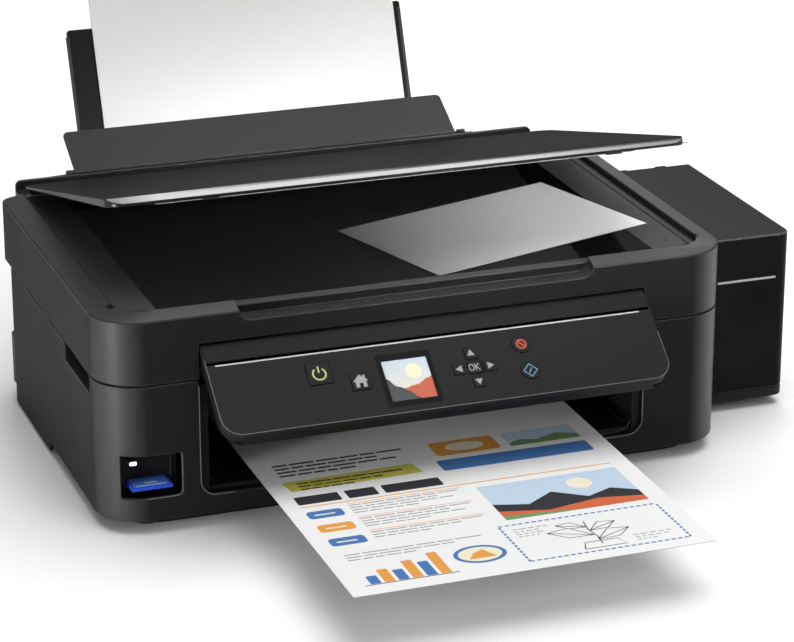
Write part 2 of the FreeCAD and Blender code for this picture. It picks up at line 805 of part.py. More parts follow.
scan_outer = slab("scan_outer", ("-half", "half"), ("0", "scan_deep"), ("scan_low", "face_top"),
                  "corner", "rear_corner")
rim_low = outline((-num("half"), num("half")), (0, num("scan_deep")), num("face_top"),
                  num("corner"), num("rear_corner"))
rim_high = outline((num("rim_side - half"), num("half - rim_side")),
                   (num("rim_front"), num("scan_deep - rim_back")), num("rim_top"),
                   num("corner - rim_front"), num("rear_corner - rim_back"))
rim = doc.addObject("Part::Feature", "rim")
rim.Shape = Part.makeLoft([rim_low, rim_high], True, True)
put(rim)
ears = []
pins = []
bores = []
lid_pivot = ("lid_axis_y", "lid_axis_z")
scan_pivot = ("scan_axis_y", "scan_axis_z")
for side, tag in ((-1, "left"), (1, "right")):
    lid_ear = mirrored(side, "lid_arm_end + gap", "lid_arm_end + lid_ear_wide")
    ears.append(rod("lid_ear_" + tag, "x", lid_pivot, "knuckle", lid_ear))
    ears.append(box("lid_ear_arm_" + tag, lid_ear, ("scan_deep - 2", "lid_axis_y"),
                    ("lid_axis_z - knuckle", "lid_axis_z + knuckle * 0.6")))
    bores.append(rod("lid_bore_" + tag, "x", lid_pivot, "hinge_pin + play",
                     mirrored(side, "lid_arm_x", "lid_arm_end + lid_ear_wide + 1")))
    scan_ear = mirrored(side, "scan_ear_x", "scan_ear_end")
    ears.append(rod("scan_ear_" + tag, "x", scan_pivot, "knuckle", scan_ear))
    ears.append(box("scan_ear_arm_" + tag, scan_ear, ("scan_deep - 2", "scan_axis_y"),
                    ("scan_axis_z - knuckle", "scan_axis_z + knuckle")))
    pins.append(rod("scan_pin_" + tag, "x", scan_pivot, "hinge_pin",
                    mirrored(side, "scan_ear_end - 1", "scan_ear_end + scan_pin_long")))
scan_block = join("scan_block", scan_outer, rim, *ears, *pins)
bed = slab("bed", ("bed_left", "bed_right"), ("bed_front", "bed_back"), ("bed_z", "rim_top + 1"),
           "bed_corner", "2")
glass_z = ("bed_z - glass_thick - glass_sunk", "bed_z - glass_sunk")
window = box("window", ("glass_left - gap", "glass_right + gap"), ("glass_front - gap", "glass_back + gap"),
             (glass_z[0], "bed_z + 1"))
window_low = box("window_low", ("glass_left + glass_ledge", "glass_right - glass_ledge"),
                 ("glass_front + glass_ledge", "glass_back - glass_ledge"),
                 ("bed_z - bed_thick - 1", "bed_z"))
well = slab("well", ("wall - half", "half - wall"), ("well_front", "scan_deep - wall"),
            ("scan_low - 1", "bed_z - bed_thick"), "well_corner", "rear_corner - wall")
panel_gap = box("panel_gap", ("-panel_gap_half", "panel_gap_half"), ("-1", "panel_gap_deep"),
                ("scan_low - 1", "panel_gap_top"))
front_hollow = box("front_hollow", ("1 - panel_gap_half", "panel_gap_half - 1"),
                   ("front_wall", "panel_gap_deep"), ("panel_gap_top - 1", "notch_low - 3"))
side_hollows = [box("side_hollow_" + tag, mirrored(side, "panel_gap_half + 3", "half - side_wall"),
                    ("front_wall + 1.5", "well_front + 1"), ("scan_low - 1", "bed_z - bed_thick"))
                for side, tag in ((-1, "left"), (1, "right"))]
notch_block = box("notch_block", ("notch_left", "notch_right"), ("-1", "bed_front + 1"),
                  ("notch_low", "rim_top + notch_corner * 2"))
notch = rounded("notch", notch_block, "notch_corner", lambda way, at: abs(way.y) > 0.9 and at.z < 0)
cut("scanner_case", scan_block, bed, window, window_low, well, panel_gap, front_hollow, notch,
    *side_hollows, *bores)

# Scanner pan: the floor of the well, with the rail on two posts.
pan_floor = slab("pan_floor", ("wall - half", "half - wall"), ("well_front", "scan_deep - wall"),
                 ("scan_low", "scan_low + pan_thick"), "pan_corner", "rear_corner + 2")
rail_spot = ("scan_rail_y", "scan_rail_z")
rail_rod = rod("rail_rod", "x", rail_spot, "scan_rail",
               ("rail_post_in + 2 - half", "half - rail_post_in - 2"))
post_x = ("half - rail_post_in - rail_post_wide", "half - rail_post_in")
rail_posts = [box("rail_post_" + tag, mirrored(side, *post_x), ("scan_rail_y - 6", "scan_rail_y + 6"),
                  ("scan_low", "scan_rail_z + scan_rail + 2")) for side, tag in ((-1, "left"), (1, "right"))]
join("scanner_pan", pan_floor, rail_rod, *rail_posts)
box("scan_glass", ("glass_left", "glass_right"), ("glass_front", "glass_back"), glass_z)
bar_x = ("bar_left", "bar_left + bar_wide")
bar_beam = box("bar_beam", bar_x, ("bar_front", "bar_back"), ("scan_rail_z + 8", "bed_z - bed_thick - 0.5"))
bar_shoe = box("bar_shoe", bar_x, ("scan_rail_y - bar_shoe", "scan_rail_y + bar_shoe"),
               ("scan_rail_z - scan_rail - 3", "scan_rail_z + 9"))
bar_bore = rod("bar_bore", "x", rail_spot, "scan_rail + play", ("bar_left - 1", "bar_left + bar_wide + 1"))
cut("scan_bar", join("bar_body", bar_beam, bar_shoe), bar_bore)
photo = doc.addObject("Part::Box", "photo_sheet")
bind(photo, "Length", "photo_long")
bind(photo, "Width", "photo_wide")
bind(photo, "Height", "photo_thick")
photo.Placement = FreeCAD.Placement(FreeCAD.Vector(), FreeCAD.Rotation(FreeCAD.Vector(0, 0, 1), 0))
put(photo, "photo_x - photo_long / 2 * cos(photo_turn) + photo_wide / 2 * sin(photo_turn)",
    "photo_y - photo_long / 2 * sin(photo_turn) - photo_wide / 2 * cos(photo_turn)", "bed_z")
bind(photo, "Placement.Rotation.Angle", "photo_turn")

# Lid: a thin shell with a bevelled front edge, arms with pins, and a mat under it.
def lid_y(text):
    return "(%s) - lid_axis_y" % text


lid_profile = prism("lid_profile", [
    (lid_y("lid_front + 2"), "lid_lo"), (lid_y("lid_back"), "lid_lo"), (lid_y("lid_back"), "lid_lo + 1.5"),
    (lid_y("lid_front + lid_bevel"), "lid_hi"), (lid_y("lid_front"), "lid_lo + 1.6"),
], ("-lid_half", "lid_half"), True)
lid_plan = slab("lid_plan", ("-lid_half", "lid_half"), (lid_y("lid_front"), lid_y("lid_back")),
                ("lid_lo - 1", "lid_hi + 1"), "lid_corner", "lid_corner", True)
lid_plate = common("lid_plate", lid_profile, lid_plan)
arms = []
for side, tag in ((-1, "left"), (1, "right")):
    span = mirrored(side, "lid_arm_x", "lid_arm_end")
    pin = mirrored(side, "lid_arm_x", "lid_arm_end + lid_ear_wide - 0.5")
    arms.append(box("lid_arm_" + tag, span, (lid_y("lid_back - 5"), "0"),
                    ("lid_lo - 1", "lid_lo + 0.5"), True))
    arms.append(box("lid_root_" + tag, span, ("-knuckle * 0.9", "0"), ("0", "lid_lo + 0.5"), True))
    arms.append(rod("lid_knuckle_" + tag, "x", ("0", "0"), "knuckle", span, True))
    arms.append(rod("lid_pin_" + tag, "x", ("0", "0"), "hinge_pin", pin, True))
seat(join("lid_shell", lid_plate, *arms), "lid_axis_y", "lid_axis_z", "lid_rest", -1)
mat = box("mat", ("glass_left + mat_in", "glass_right - mat_in + 2"),
          (lid_y("lid_front + 6"), lid_y("glass_back + 2")), ("mat_low - lid_axis_z", "lid_lo"), True)
seat(group("lid_mat", mat), "lid_axis_y", "lid_axis_z", "lid_rest", -1)

# Control panel: skin, hollow shell with pins, display with its board, and keys.
def key(name, x, z, size, round_key=False):
    """A cap through the skin with a lip behind it, and the hole it needs."""
    faces = []
    for tag, grow, ends in (("cap", "0", ("panel_face - key_proud", "skin_back + gap")),
                            ("lip", "key_lip", ("skin_back + gap", "skin_back + gap + key_back")),
                            ("hole", "gap", ("panel_face - 1", "skin_back + 1"))):
        reach = "(%s) + (%s)" % (size, grow)
        label = name + "_" + tag
        if round_key:
            faces.append(rod(label, "y", (x, z), reach, ends, True))
        else:
            faces.append(box(label, ("(%s) - (%s)" % (x, reach), "(%s) + (%s)" % (x, reach)), ends,
                             ("(%s) - (%s)" % (z, reach), "(%s) + (%s)" % (z, reach)), True))
    cap = join(name, faces[0], faces[1])
    seat(cap, "panel_axis_y", "panel_axis_z", "panel_rest", -1)
    return faces[2]


holes = [
    key("key_power", "power_x", "power_z", "key_power_size / 2"),
    key("key_home", "home_x", "home_z", "key_home_size / 2"),
    key("key_up", "pad_x", "pad_z + pad_step", "key_arrow_size / 2"),
    key("key_down", "pad_x", "pad_z - pad_step", "key_arrow_size / 2"),
    key("key_left", "pad_x - pad_step", "pad_z", "key_arrow_size / 2"),
    key("key_right", "pad_x + pad_step", "pad_z", "key_arrow_size / 2"),
    key("key_ok", "pad_x", "pad_z", "key_ok_size / 2"),
    key("key_stop", "stop_x", "stop_z", "key_round", True),
    key("key_start", "start_x", "start_z", "key_round", True),
]
screen_hole = box("screen_hole", ("screen_left - gap", "screen_right + gap"),
                  ("panel_face - 1", "skin_back + 1"), ("screen_low - gap", "screen_high + gap"), True)
skin_block = box("skin_block", ("-panel_half", "panel_half"), ("panel_face", "skin_back"),
                 ("panel_low", "panel_top"), True)
skin = rounded("skin", skin_block, "panel_corner", lambda way, at: abs(way.y) > 0.9 and at.z < 0)
panel_front = cut("panel_front", skin, screen_hole, *holes)
seat(panel_front, "panel_axis_y", "panel_axis_z", "panel_rest", -1)
shell_low = "panel_low + shell_inset"
shell_top = "panel_top - shell_inset / 2"
shell_bulk = box("shell_bulk", ("-shell_half", "shell_half"), ("skin_back", "shell_back"),
                 ("panel_low", shell_top), True)
shell_block = rounded("shell_block", shell_bulk, "panel_corner - panel_lap - shell_gap",
                      lambda way, at: abs(way.y) > 0.9 and at.z < 0)
rim_bulk = box("rim_bulk", ("-panel_half", "panel_half"), ("skin_back", "shell_rim"),
               ("panel_low", "-ear_round - gap * 4"), True)
panel_rim = rounded("panel_rim", rim_bulk, "panel_corner", lambda way, at: abs(way.y) > 0.9 and at.z < -20)
shell_hollow = box("shell_hollow", ("shell_wall - shell_half", "shell_half - shell_wall"),
                   ("skin_back - 1", "shell_back - shell_wall"),
                   (shell_low + " + shell_wall", shell_top + " - shell_wall"), True)
shell_pins = [rod("shell_pin_" + tag, "x", ("0", "0"), "hinge_pin",
                  mirrored(side, "shell_half - 1", "shell_half + shell_pin"), True)
              for side, tag in ((-1, "left"), (1, "right"))]
post_spots = [(x, z) for x in ("board_left + 6", "board_right - 6")
              for z in ("screen_low + 4.2", "board_high - 4")]
shell_posts = [rod("shell_post_%d" % n, "y", spot, "post_round", ("board_back", "shell_back - 1"), True)
               for n, spot in enumerate(post_spots)]
shell_tub = cut("shell_tub", join("shell_mass", shell_block, panel_rim), shell_hollow)
panel_back = join("panel_back", shell_tub, *shell_pins, *shell_posts)
seat(panel_back, "panel_axis_y", "panel_axis_z", "panel_rest", -1)
screen = box("screen", ("screen_left", "screen_right"), ("panel_face + screen_sunk", "board_front"),
             ("screen_low", "screen_high"), True)
board = box("board", ("board_left", "board_right"), ("board_front", "board_back"),
            ("screen_low", "board_high"), True)
display = join("display", screen, board)
seat(display, "panel_axis_y", "panel_axis_z", "panel_rest", -1)

# Rear feeder: a tower with a leaning throat, a chute below and a tongue to the rollers.
def lean_y(height, offset="0"):
    """The y of the paper's plane at a height, moved back by an offset."""
    return "paper_foot_y + (%s - paper_foot_z) * tan(paper_lean) + (%s)" % (height, offset)


tower = prism("tower", [
    ("tower_front", "chute_top - 4"), (lean_y("chute_top - 4", "wall_back + tower_wall"), "chute_top - 4"),
    (lean_y("tower_rear", "wall_back + tower_wall"), "tower_rear"), ("tower_front + 2", "tower_top"),
    ("tower_front", "tower_top"),
], ("throat_left - tower_cheek", "throat_right + tower_cheek"))
tower_sheet = box("tower_sheet", ("tower_left", "tower_right"), ("tower_front", "tower_front + tower_skin"),
                  ("chute_top - 4", "tower_top"))
tower_face = rounded("tower_face", tower_sheet, "tower_corner",
                     lambda way, at: abs(way.y) > 0.9 and at.z > 0)
chute = prism("chute", [
    ("base_deep", "chute_low"), ("chute_back", "chute_low"), ("chute_back", "paper_foot_z - 6"),
    (lean_y("chute_top", "wall_back + tower_wall"), "chute_top"), ("base_deep", "chute_top"),
], ("chute_left", "chute_right"))
roll_x = ("paper_left - roll_over", "paper_right + roll_over")
tongue = box("tongue", roll_x, ("tongue_front", "base_deep + 20"),
             ("print_z - 2 - tongue_thick", "print_z - 2"))
pickup_spot = ("pickup_y", "pickup_z")
brackets = []
feeder_cuts = []
for side, tag in ((-1, "left"), (1, "right")):
    tower_end = "tower_right" if side > 0 else "-(tower_left)"
    eye = mirrored(side, "scan_ear_end + gap + 0.1", tower_end)
    brackets.append(rod("bracket_eye_" + tag, "x", scan_pivot, "knuckle", eye))
    brackets.append(box("bracket_" + tag, eye, ("scan_axis_y", "tower_front + 1"),
                        ("scan_axis_z - knuckle", "scan_axis_z + knuckle")))
    feeder_cuts.append(rod("bracket_bore_" + tag, "x", scan_pivot, "hinge_pin + play",
                           mirrored(side, "scan_ear_end - 1", tower_end + " + 1")))
    end = ("throat_right - 1", "throat_right + 4") if side > 0 else ("throat_left - 4", "throat_left + 1")
    cheek = ("throat_right", "throat_right + 5") if side > 0 else ("throat_left - 5", "throat_left")
    brackets.append(rod("flap_cheek_" + tag, "x", ("flap_y", "flap_z"), "flap_eye", cheek))
    feeder_cuts.append(rod("flap_bore_" + tag, "x", ("flap_y", "flap_z"), "flap_pin + play", end))
    feeder_cuts.append(rod("pickup_bore_" + tag, "x", pickup_spot, "pickup_shaft + play", end))
throat = prism("throat", [
    ("tower_front + 7", "tower_top + 1"), ("tower_front + 6", "chute_top + 4"),
    ("tower_front - 13", "paper_foot_z + 8"), ("base_deep - 1", "paper_foot_z - 6"),
    ("base_deep - 1", "print_z - 2"), ("ramp_y", "(print_z + paper_foot_z) / 2"),
    (lean_y("paper_foot_z + 2", "wall_back"), "paper_foot_z + 2"),
    (lean_y("tower_top + 1", "wall_back"), "tower_top + 1"),
], ("throat_left", "throat_right"))
chute_x = ("chute_left + 3", "chute_right - 3")
feeder_cuts.append(prism("chute_under", [
    ("base_deep + 3", "chute_low - 1"), ("chute_back - 3", "chute_low - 1"),
    ("chute_back - 3", "paper_foot_z - 8"), ("ramp_y", "(print_z + paper_foot_z) / 2 - 5.5"),
    ("base_deep + 3", "print_z - 9"),
], chute_x))
feeder_cuts.append(box("chute_over", chute_x, ("base_deep + 5", "ramp_y"),
                       ("paper_foot_z + 12", "chute_top + 1")))
feeder_body = join("feeder_body", tower, tower_face, chute, *brackets)
feeder_block = cut("feeder_block", feeder_body, throat, *feeder_cuts)
join("feeder_housing", feeder_block, tongue)
pickup_rod = rod("pickup_rod", "x", pickup_spot, "pickup_shaft",
                 ("throat_left - pin_long", "throat_right + pin_long"))
pickup_tyres = [rod("pickup_tyre_%d" % n, "x", pickup_spot, "pickup_round", ("%s - 11" % x, "%s + 11" % x))
                for n, x in enumerate(("paper_shift - paper_wide * 0.28", "paper_shift + paper_wide * 0.28"))]
join("pickup_roller", pickup_rod, *pickup_tyres)
flap_root = rod("flap_rod", "x", ("0", "0"), "flap_root", ("flap_left", "flap_right"), True)
flap_pins = rod("flap_pins", "x", ("0", "0"), "flap_pin",
                ("flap_left - pin_long", "flap_right + pin_long"), True)
flap_block = box("flap_block", ("flap_left", "flap_right"), ("0", "flap_long"),
                 ("-flap_thick / 2", "flap_thick / 2"), True)
flap_plate = rounded("flap_plate", flap_block, "flap_corner", lambda way, at: abs(way.z) > 0.9 and at.y > 0)
seat(join("feeder_flap", flap_root, flap_pins, flap_plate), "flap_y", "flap_z", "flap_rest", 1)
support_block = box("support_block", ("support_left", "support_right"), ("support_front", "support_back"),
                    ("support_low", "support_high"), True)
support_plate = rounded("support_plate", support_block, "support_corner",
                        lambda way, at: abs(way.y) > 0.9 and at.z > 0)
support_grip = box("support_grip", ("-30", "16"), ("support_front + 1.6", "support_back + 1"),
                   ("support_high - 22", "support_high - 8"), True)


def lean(part):
    """Stand a loose part on the foot of the leaning paper."""
    return seat(part, "paper_foot_y", "paper_foot_z", "paper_lean", -1)


lean(cut("paper_support", support_plate, support_grip))
guide_z = ("guide_low", "guide_high")
guide_wing = box("guide_wing", ("paper_left - 3", "paper_left - 0.7"),
                 ("-12", "support_front - gap"), guide_z, True)
guide_foot = box("guide_foot", ("paper_left - 19.5", "paper_left - 2"),
                 ("-1.3", "support_front - gap"), guide_z, True)
lean(join("edge_guide", guide_wing, guide_foot))
stack = box("stack", ("paper_left", "paper_right"), ("0", "stack_thick"), ("0", "paper_long"), True)
lean(group("blank_sheets", stack))
box("printed_sheet", ("print_left", "print_right"), ("-print_reach", "print_tail"),
    ("print_z", "print_z + print_thick"))

# Steel frame: two side plates and a tie bar, bored for the shafts.
plate_y = ("plate_front", "plate_back")
left_plate = box("left_plate", ("plate_left", "plate_left + plate_thick"), plate_y, ("deck_top", "frame_top"))
right_plate = box("right_plate", ("plate_right", "plate_end"), plate_y, ("deck_top", "frame_top"))
tie_bar = box("tie_bar", ("plate_left", "plate_end"), ("plate_back - 7 - plate_thick", "plate_back - 7"),
              ("frame_top - 18", "frame_top"))
feed_spot = ("feed_y", "roll_z")
exit_spot = ("exit_y", "roll_z")
pinion_spot = ("pinion_y", "roll_z")
pinch_spot = ("feed_y", "pinch_z")
stud = rod("stud_rod", "x", ("transfer_y", "transfer_z"), "stud", ("gear_left - 2", "plate_left + 1"))
plate_span = ("plate_left - 1", "plate_end + 1")
frame_bores = [
    rod("feed_bore", "x", feed_spot, "feed_shaft + play", plate_span),
    rod("exit_bore", "x", exit_spot, "exit_shaft + play", plate_span),
    rod("pinion_hole", "x", pinion_spot, "pinion_shaft + 1",
        ("plate_left - 1", "plate_left + plate_thick + 1")),
]
cut("main_frame", join("frame_plates", left_plate, right_plate, tie_bar, stud), *frame_bores)

# Paper drive: rollers with their gears, the transfer gear, and the motor with its pinion.
shaft_ends = ("gear_left - 4", "plate_end - gap")
feed_rod = rod("feed_rod", "x", feed_spot, "feed_shaft", shaft_ends)
feed_sleeve = rod("feed_sleeve", "x", feed_spot, "roll_round", roll_x)
feed_gear = gear("feed_gear", "drive_teeth", None, "feed_y", "roll_z", 0.0)
join("feed_roller", feed_rod, feed_sleeve, feed_gear)
step_drive = 2 * math.pi / num("drive_teeth")
step_transfer = 2 * math.pi / num("transfer_teeth")
lift = math.atan2(num("transfer_z - roll_z"), num("transfer_y - feed_y"))
lead = round(lift / step_drive) * step_drive - lift
transfer_turn = lift + math.pi - lead * num("drive_teeth / transfer_teeth") + step_transfer / 2
gear("transfer_gear", "transfer_teeth", "stud + play", "transfer_y", "transfer_z", transfer_turn)
drop = math.atan2(num("roll_z - transfer_z"), num("exit_y - transfer_y"))
lead = transfer_turn + round((drop - transfer_turn) / step_transfer) * step_transfer - drop
exit_turn = drop + math.pi - lead * num("transfer_teeth / drive_teeth") + step_drive / 2
exit_gear = gear("exit_gear", "drive_teeth", None, "exit_y", "roll_z", exit_turn)
exit_rod = rod("exit_rod", "x", exit_spot, "exit_shaft", shaft_ends)


def tyres(name, spot, radius, half_wide, shift):
    """Four tyres spread over the paper's width."""
    middles = ["%s + paper_wide * %g" % (shift, share) for share in (-0.38, -0.13, 0.13, 0.38)]
    spans = [("%s - %s" % (x, half_wide), "%s + %s" % (x, half_wide)) for x in middles]
    return [rod("%s_%d" % (name, n), "x", spot, radius, span) for n, span in enumerate(spans)]


exit_tyres = tyres("exit_tyre", exit_spot, "roll_round", "tyre_half", "print_shift")
join("exit_roller", exit_rod, *exit_tyres, exit_gear)
pinion_turn = math.pi + math.pi / num("pinion_teeth")
pinion_gear = gear("pinion_gear", "pinion_teeth", None, "pinion_y", "roll_z", pinion_turn)
pinion_rod = rod("pinion_rod", "x", pinion_spot, "pinion_shaft",
                 ("gear_left", "plate_left + feed_motor_long / 2"))
join("motor_pinion", pinion_gear, pinion_rod)
feed_can = rod("feed_can", "x", pinion_spot, "feed_motor_round",
               ("plate_left + plate_thick", "plate_left + plate_thick + feed_motor_long"))
feed_can_bore = rod("feed_can_bore", "x", pinion_spot, "pinion_shaft + play",
                    ("plate_left", "plate_left + feed_motor_long / 2 + 1"))
cut("feed_motor", feed_can, feed_can_bore)
pinch_rod = rod("pinch_rod", "x", pinch_spot, "pinch_shaft",
                ("paper_left - pinch_over", "paper_right + pinch_over"))
join("pinch_roller", pinch_rod, *tyres("pinch_tyre", pinch_spot, "pinch_round", "pinch_half", "paper_shift"))

# Carriage drive: rail, belt, pulleys, motor, carriage and print head.
rail_plate = box("rail_plate", ("plate_left + plate_thick", "plate_right"), ("rail_y", "rail_end"),
                 ("rail_low", "rail_top"))
idler_spot = ("-pulley_x", "belt_z")
motor_spot = ("pulley_x", "belt_z")
rail_stud = rod("rail_stud", "y", idler_spot, "pulley_shaft", ("belt_front - 0.5", "rail_y + 1"))
pinch_arms = []
rail_bores = [rod("rail_hole", "y", motor_spot, "pulley_shaft + 1", ("rail_y - 1", "rail_end + 1"))]
arm_spots = {"left": "paper_left - pinch_over + 1", "right": "paper_right + pinch_over - 1 - pinch_arm"}
for tag, x in arm_spots.items():
    pinch_arms.append(box("pinch_arm_" + tag, (x, x + " + pinch_arm"), ("feed_y - 3.5", "rail_end"),
                          ("pinch_z - 3.5", "rail_low + 3")))
    rail_bores.append(rod("pinch_bore_" + tag, "x", pinch_spot, "pinch_shaft + play",
                          (x + " - 1", x + " + pinch_arm + 1")))
cut("guide_rail", join("rail_body", rail_plate, rail_stud, *pinch_arms), *rail_bores)
belt_ends = ("belt_front", "belt_back")


def track(name, radius):
    """A stadium between the two pulleys."""
    ends = [rod(name + "_left", "y", idler_spot, radius, belt_ends)]
    ends.append(rod(name + "_right", "y", motor_spot, radius, belt_ends))
    middle = box(name + "_middle", ("-pulley_x", "pulley_x"), belt_ends,
                 ("belt_z - (%s)" % radius, "belt_z + (%s)" % radius))
    return join(name, middle, *ends)


belt_outer = track("belt_outer", "pulley_round + gap + belt_thick")
cut("drive_belt", belt_outer, track("belt_inner", "pulley_round + gap"))
idler_disc = rod("idler_disc", "y", idler_spot, "pulley_round", belt_ends)
idler_bore = rod("idler_bore", "y", idler_spot, "pulley_shaft + play", ("belt_front - 1", "rail_y"))
cut("idler_pulley", idler_disc, idler_bore)
pulley_disc = rod("pulley_disc", "y", motor_spot, "pulley_round", belt_ends)
pulley_rod = rod("pulley_rod", "y", motor_spot, "pulley_shaft",
                 ("belt_front", "rail_end + carriage_motor_long - 6"))
join("motor_pulley", pulley_disc, pulley_rod)
can = rod("can", "y", motor_spot, "carriage_motor_round", ("rail_end", "rail_end + carriage_motor_long"))
can_bore = rod("can_bore", "y", motor_spot, "pulley_shaft + play",
               ("rail_y", "rail_end + carriage_motor_long - 5"))
cut("carriage_motor", can, can_bore)


def carriage_box(name, half, y, z):
    return box(name, ("carriage_x - (%s)" % half, "carriage_x + (%s)" % half), y, z)


tub = carriage_box("tub", "carriage_half", ("carriage_front", "carriage_back"),
                   ("carriage_low", "carriage_top"))
tub_hollow = carriage_box("tub_hollow", "carriage_half - carriage_wall",
                          ("carriage_front + carriage_wall", "carriage_back - carriage_wall"),
                          ("carriage_low + carriage_wall + 1.5", "carriage_top + 1"))
hook = carriage_box("hook", "carriage_half - 8", ("carriage_back - 1", "rail_end + hook_over + 0.5"),
                    ("rail_top - hook_grip", "rail_top + hook_over"))
clip = carriage_box("clip", "6", belt_ends,
                    ("belt_z + pulley_round + belt_thick + gap * 2", "rail_top - hook_grip + 2"))
hook_slot = carriage_box("hook_slot", "carriage_half", ("rail_y - gap", "rail_end + gap"),
                         ("rail_top - hook_grip - 1", "rail_top + gap"))
cut("carriage", join("carriage_body", cut("tub_open", tub, tub_hollow), hook, clip), hook_slot)
head_y = ("carriage_front + head_in", "carriage_back - head_in")
carriage_box("print_head", "carriage_half - 6", head_y, ("head_low", "carriage_low"))
platen_block = box("platen_block", ("paper_left - 11", "print_right - platen_wall"),
                   ("exit_y + roll_round + 2", "feed_y - roll_round - 2"), ("deck_top", "print_z - gap * 2"))
platen_hollow = box("platen_hollow", ("paper_left - 11 + platen_wall", "print_right - platen_wall * 2"),
                    ("exit_y + roll_round + 2 + platen_wall", "feed_y - roll_round - 2 - platen_wall"),
                    ("deck_top - 1", "print_z - platen_wall"))
cut("platen", platen_block, platen_hollow)
cap_block = carriage_box("cap_block", "carriage_half - 8", head_y, ("deck_top", "head_low - gap * 2"))
cap_cup = carriage_box("cap_cup", "carriage_half - 12",
                       ("carriage_front + head_in + 5", "carriage_back - head_in - 5"),
                       ("head_low - 4", "carriage_low"))
cut("capping_station", cap_block, cap_cup)
board_plate = box("board_plate", ("main_board_left", "main_board_right"),
                  ("main_board_front", "main_board_end"), ("deck_top + 3.5", "deck_top + 5"))
post_spots = [(x, y) for x in ("main_board_left + 6", "main_board_right - 6")
              for y in ("main_board_front + 6", "main_board_end - 6")]
board_posts = [rod("board_post_%d" % n, "z", spot, "board_post", ("deck_top", "deck_top + 4"))
               for n, spot in enumerate(post_spots)]
chip_spots = ["main_board_left + chip_first + chip_step * %d" % n for n in range(3)]
chip_y = ("main_board_front + 10", "main_board_front + 10 + chip")
board_chips = [box("chip_%d" % n, (x, x + " + chip"), chip_y, ("deck_top + 4", "deck_top + 8"))
               for n, x in enumerate(chip_spots)]
join("main_board", board_plate, *board_posts, *board_chips)

# Ink tank unit: tray with back and left walls, hinged cover, four tanks with stoppers, and tubes.
tank_floor = slab("tank_floor", ("tank_left", "tank_right"), ("tank_front", "tank_back"),
                  ("tank_low", "tank_base"), "tank_corner", "2")
left_wall = box("left_wall", ("tank_left", "tank_left + tank_wall"),
                ("tank_front + tank_wall + gap * 2", "tank_back"),
                ("tank_base - 1", "tank_top - tank_wall - gap * 2"))
back_wall = box("back_wall", ("tank_left", "tank_right - tank_wall - gap * 2"),
                ("tank_axis_y - tank_wall / 2", "tank_axis_y + tank_wall / 2"),
                ("tank_base - 1", "tank_axis_z + 2.6"))
tank_hooks = [box("tank_hook_%d" % n, ("half", "tank_left + 1"), (y, y + " + 18"),
                  ("tank_hook_low", "tank_hook_high"))
              for n, y in enumerate(("tank_front + 32", "tank_back - 43"))]
tank_pivot = ("tank_axis_y", "tank_axis_z")
notches = []
knuckles = []
knuckle_bores = []
for n, x in enumerate(("tank_left + 16", "tank_right - 16 - tank_knuckle")):
    eye = (x, x + " + tank_knuckle")
    notches.append(box("knuckle_gap_%d" % n, (x + " - gap", x + " + tank_knuckle + gap"),
                       ("tank_axis_y - knuckle - 1.9", "tank_axis_y + knuckle + 1.9"),
                       ("tank_axis_z - 7", "tank_top")))
    knuckles.append(rod("knuckle_eye_%d" % n, "x", tank_pivot, "knuckle", eye))
    knuckles.append(box("knuckle_arm_%d" % n, eye, ("tank_axis_y - knuckle", "tank_axis_y"),
                        ("tank_axis_z", "tank_top - 1")))
    knuckle_bores.append(rod("knuckle_bore_%d" % n, "x", tank_pivot, "hinge_pin + play",
                             (x + " - 1", x + " + tank_knuckle + 1")))
tank_pin = rod("tank_pin", "x", tank_pivot, "hinge_pin", ("tank_left + 4", "tank_right - tank_wall - 2"))
tank_tubes = [rod("tank_tube_%d" % n, "x", (y, "tube_z"), "tube_round + tube_room",
                  ("tank_left - 1", "tank_left + tank_wall + 1")) for n, y in enumerate(tube_spots)]
tank_under = slab("tank_under", ("tank_left + 3", "tank_right - 3"), ("tank_front + 3", "tank_back - 3"),
                  ("tank_low - 1", "tank_base - tank_wall"), "tank_corner - 3", "1")
tank_body = join("tank_body", tank_floor, left_wall, back_wall, *tank_hooks)
tank_walls = cut("tank_walls", tank_body, tank_under, *notches, *tank_tubes)
join("tank_case", tank_walls, tank_pin)
cover_outer = slab("cover_outer", ("tank_left", "tank_right"), ("tank_front", "tank_axis_y - 2.8"),
                   ("tank_base + gap", "tank_top"), "tank_corner", "1")
cover_hollow = slab("cover_hollow", ("tank_left - 10", "tank_right - tank_wall"),
                    ("tank_front + tank_wall", "tank_back + 20"), ("tank_base", "tank_top - tank_wall"),
                    "tank_corner - tank_wall", "2")
cover_shell = cut("cover_shell", cover_outer, cover_hollow)
cut("tank_cover", join("cover_body", cover_shell, *knuckles), *knuckle_bores)
tanks = []
for ink, low in zip(("black", "cyan", "magenta", "yellow"), ink_spots):
    spot = ("(ink_left + ink_right) / 2", low + " + ink_wide / 2")
    bottle = box("bottle_" + ink, ("ink_left", "ink_right"), (low, low + " + ink_wide"),
                 ("tank_base", "ink_top"))
    neck = rod("neck_" + ink, "z", spot, "neck_round", ("ink_top - 1", "ink_top + neck_tall"))
    inside = box("inside_" + ink, ("ink_left + ink_wall", "ink_right - ink_wall"),
                 (low + " + ink_wall", low + " + ink_wide - ink_wall"),
                 ("tank_base + ink_wall", "ink_top - ink_wall"))
    mouth = rod("mouth_" + ink, "z", spot, "neck_bore", ("ink_top - ink_wall - 1", "ink_top + neck_tall + 1"))
    tanks.append(cut("tank_" + ink, join("full_" + ink, bottle, neck), inside, mouth))
    lid = rod("lid_" + ink, "z", spot, "cap_round", ("cap_low", "cap_low + cap_tall"))
    plug = rod("plug_" + ink, "z", spot, "neck_bore - gap", ("ink_top", "cap_low + 1"))
    join("cap_" + ink, lid, plug)
group("ink_tanks", *tanks)
